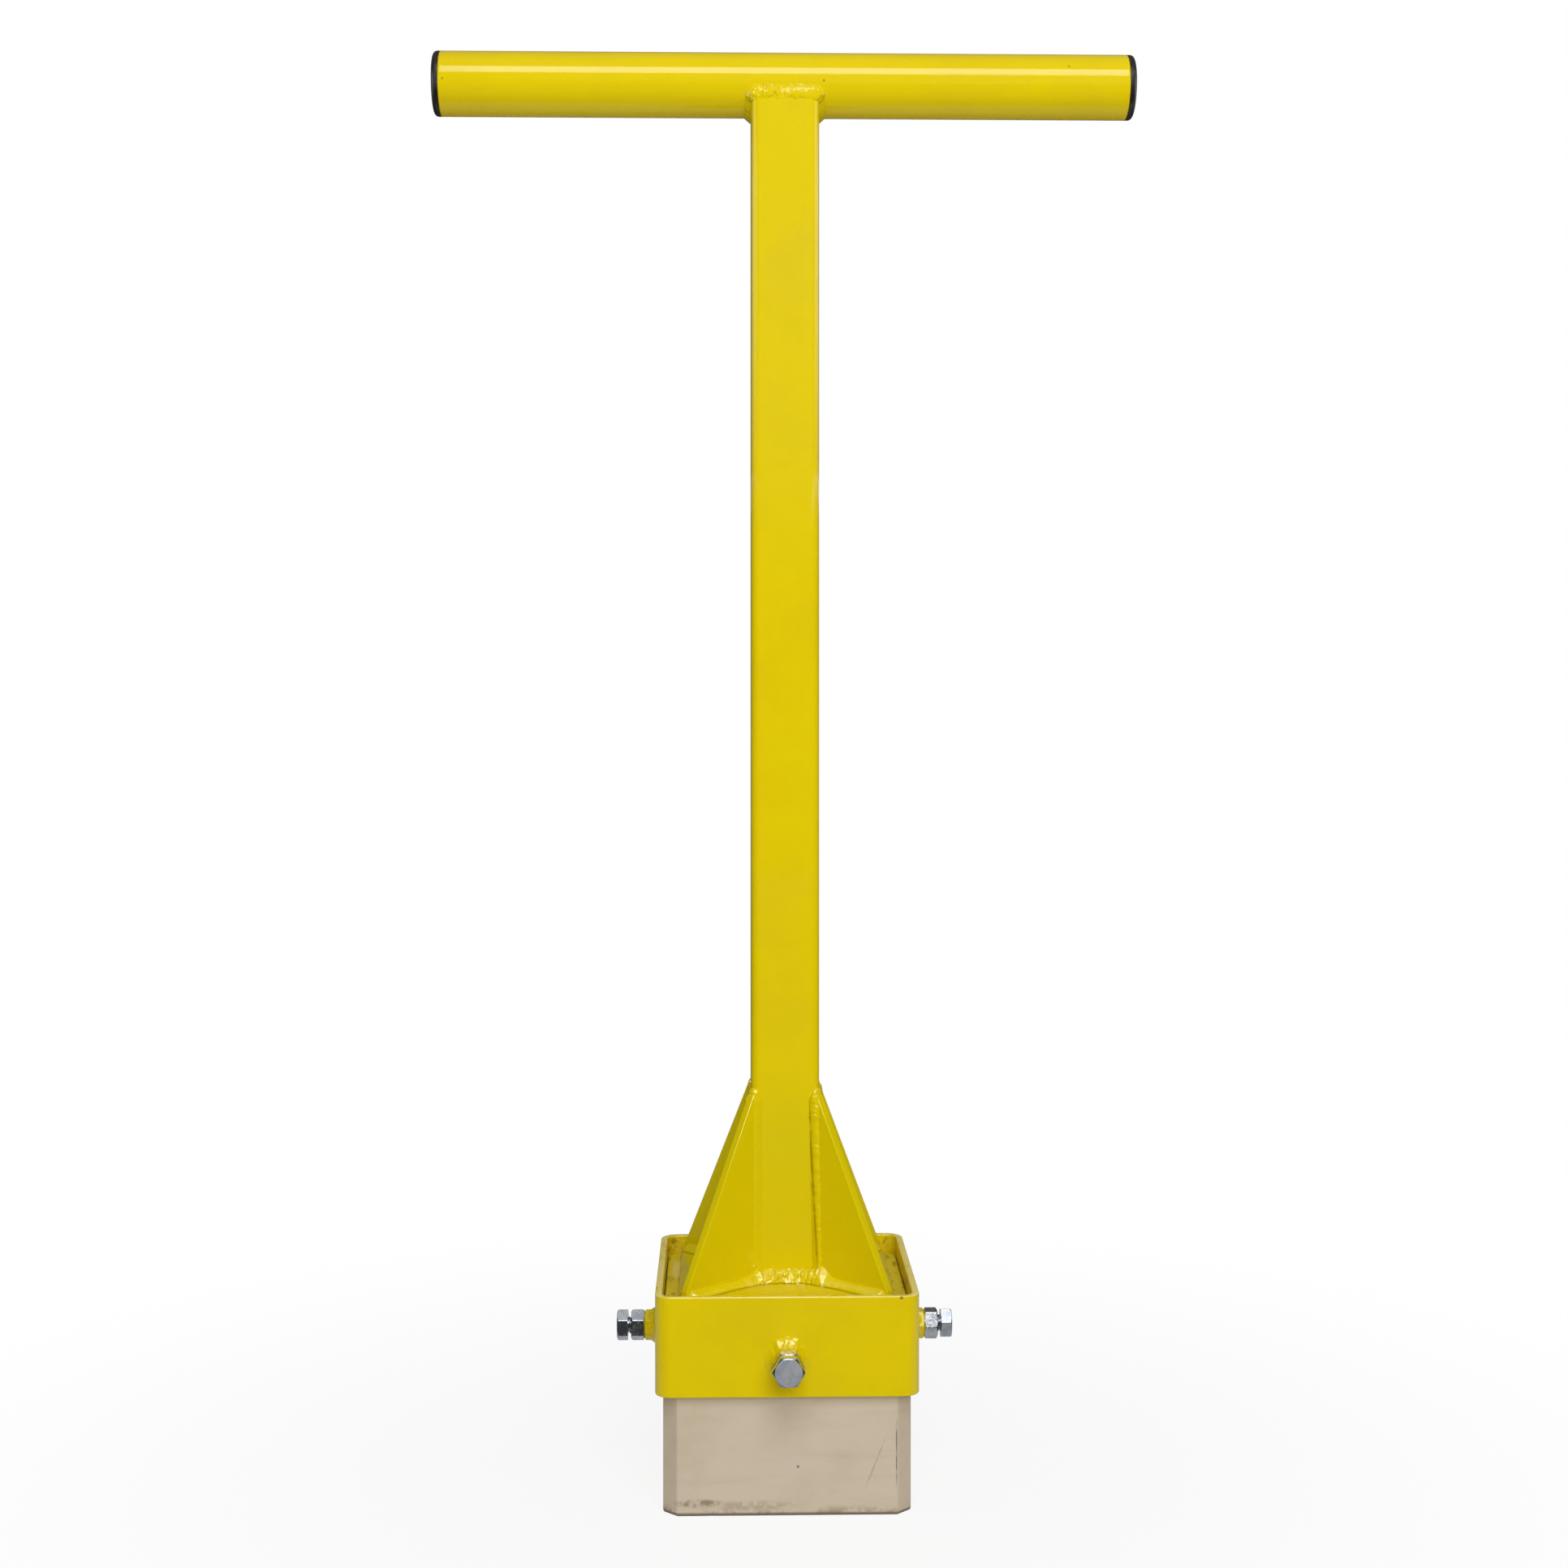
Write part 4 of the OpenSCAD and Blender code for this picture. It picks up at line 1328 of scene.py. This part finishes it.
def glow_material(name, level, one_sided=False):
    """Grey glow for gloss. The level is a number, or a function works it out from the place on the card.

    A card with one side glows where it is seen from behind its faces and is clear from the front.
    """
    material, tree, surface, place = empty_material(name)
    axes = put(tree, "ShaderNodeSeparateXYZ", {0: place}).outputs
    strength = level(tree, axes) if callable(level) else level
    glow = put(tree, "ShaderNodeEmission", {"Strength": strength}).outputs[0]
    if one_sided:
        behind = tree.nodes.new("ShaderNodeNewGeometry").outputs["Backfacing"]
        clear = tree.nodes.new("ShaderNodeBsdfTransparent").outputs[0]
        glow = put(tree, "ShaderNodeMixShader", {0: behind, 1: clear, 2: glow}).outputs[0]
    tree.links.new(glow, surface)
    return material


def stage_piece(name, points, material):
    """Adds a grid to the stage."""
    vertices, quads = sheet(points)
    mesh = bpy.data.meshes.new(name)
    mesh.from_pydata(vertices.tolist(), [], quads.tolist())
    mesh.materials.append(material)
    piece = bpy.data.objects.new(name, mesh)
    bpy.context.scene.collection.objects.link(piece)
    return piece


def floor():
    """Flat floor, a square grid on z = 0."""
    edge = np.linspace(-FLOOR_HALF, FLOOR_HALF, 7)
    x, y = np.meshgrid(edge, edge)
    stage_piece("floor", np.stack([x, y, 0 * x], axis=-1), backdrop_material())


def flat_card(x_range, y_range, z):
    """Level rectangle, a grid on X and Y."""
    x, y = np.meshgrid(np.linspace(*x_range, 4), np.linspace(*y_range, 4))
    return np.stack([x, y, 0 * x + z], axis=-1)


def side_card(x, y_range, z_range):
    """Upright rectangle, a grid on Y and Z."""
    y, z = np.meshgrid(np.linspace(*y_range, 4), np.linspace(*z_range, 4))
    return np.stack([0 * y + x, y, z], axis=-1)


def round_wall(radius, angles, z_range):
    """Upright part of a cylinder about Z, between two angles from the front."""
    angle = np.radians(np.linspace(*angles, 40))
    angle, z = np.meshgrid(angle, np.linspace(*z_range, 6), indexing="ij")
    return np.stack([radius * np.sin(angle), -radius * np.cos(angle), z], axis=-1)


def floor_level(tree, axes):
    """Floor as gloss sees it: paler about the tamper, dim in front, behind and to the sides."""
    before = ramp(tree, axes["Y"], -0.28, -0.02, 0.04, 0.50)
    behind = ramp(tree, axes["Y"], 0.15, 0.80, 1.0, 0.30)
    beside = ramp(tree, size_of(tree, axes["X"]), 0.35, 0.70, 1.0, 0.12)
    return product(tree, before, behind, beside)


def rising_to(level, y_front):
    """Level of a side card: grows with height, and from the card's front edge back."""
    def strength(tree, axes):
        upward = ramp(tree, axes["Z"], 0.49, 0.94)
        backward = ramp(tree, axes["Y"], y_front, y_front + 0.48)
        return ramp(tree, product(tree, upward, backward), 0.0, 1.0, 0.0, level)
    return strength


def dark_room():
    """Dim walls, ceiling and floor, and pale cards for the shaft's corners, foot and bolts, for gloss."""
    around = (-ROOM_REACH, ROOM_REACH)
    front_wall = round_wall(ROOM_REACH, (-110, 110), ROOM_HEIGHTS)
    back_wall = round_wall(ROOM_REACH, (110, 250), ROOM_HEIGHTS)
    ceiling = flat_card(around, around, CEILING_HEIGHT)
    low_floor = flat_card(around, around, DARK_FLOOR_HEIGHT)
    left_card = side_card(-SIDE_CARD_X, LEFT_CARD_DEPTHS, SIDE_CARD_HEIGHTS)
    right_card = side_card(SIDE_CARD_X, RIGHT_CARD_DEPTHS, SIDE_CARD_HEIGHTS)
    foot_card = flat_card((-0.14, 0.085), (-0.29, -0.09), FOOT_CARD_HEIGHT)
    left_bolt_card = flat_card((-0.17, -0.085), (-0.30, 0.40), BOLT_CARD_HEIGHT)
    right_bolt_card = flat_card((0.085, 0.25), (-0.42, 0.40), BOLT_CARD_HEIGHT)
    parts = {
        "dark_wall": (front_wall, 0.04, False),
        "dark_back_wall": (back_wall, 0.12, False),
        "dark_ceiling": (ceiling, 0.20, False),
        "dark_floor": (low_floor, floor_level, False),
        "left_card": (left_card, rising_to(2.2, LEFT_CARD_DEPTHS[0]), False),
        "right_card": (right_card, rising_to(2.6, RIGHT_CARD_DEPTHS[0]), False),
        "foot_card": (foot_card, 11.0, True),
        "left_bolt_card": (left_bolt_card, 0.8, True),
        "right_bolt_card": (right_bolt_card, 1.5, True),
    }
    for name, (points, level, one_sided) in parts.items():
        piece = stage_piece(name, points, glow_material(f"{name}_glow", level, one_sided))
        piece.visible_camera = False
        piece.visible_diffuse = False
        piece.visible_shadow = False
        piece.visible_transmission = False


def softbox(name, place, aim, width, height, power):
    """Rectangular area lamp that faces a point."""
    lamp = bpy.data.lights.new(name, "AREA")
    lamp.shape = "RECTANGLE"
    lamp.size = width
    lamp.size_y = height
    lamp.energy = power
    holder = bpy.data.objects.new(name, lamp)
    bpy.context.scene.collection.objects.link(holder)
    holder.location = place
    toward = Vector(aim) - Vector(place)
    holder.rotation_euler = toward.to_track_quat("-Z", "Y").to_euler()
    return holder


def lights():
    """Key box high in front, a wide fill that gloss doesn't see and an even room."""
    softbox("key_box", KEY_PLACE, aim=(0.0, 0.0, 0.60), width=1.3, height=0.95, power=21.0)
    fill = softbox("fill_box", FILL_PLACE, aim=(0.0, 0.0, 0.50), width=1.4, height=1.0, power=20.5)
    fill.visible_glossy = False
    world = bpy.data.worlds.new("studio")
    bpy.context.scene.world = world
    world.use_nodes = True
    tree = world.node_tree
    ground = tree.nodes["Background"]
    strength = ramp(tree, seen_directly(tree), 0.0, 1.0, low=ROOM_LIGHT, high=1.0)
    ground.inputs["Color"].default_value = (1.0, 1.0, 1.0, 1.0)
    tree.links.new(strength, ground.inputs["Strength"])


def camera():
    """Nearly level camera, with part of the lens shift of the photograph's framing."""
    view = bpy.data.cameras.new("photo_camera")
    view.sensor_width = 36.0
    view.lens = CAMERA_LENS
    view.shift_y = CAMERA_SHIFT
    holder = bpy.data.objects.new("photo_camera", view)
    bpy.context.scene.collection.objects.link(holder)
    holder.location = CAMERA_PLACE
    holder.rotation_euler = (math.radians(90 - CAMERA_TILT_DOWN), 0.0, math.radians(-CAMERA_TURN_RIGHT))
    bpy.context.scene.camera = holder


floor()
dark_room()
lights()
camera()
bpy.context.scene.view_settings.view_transform = "Standard"
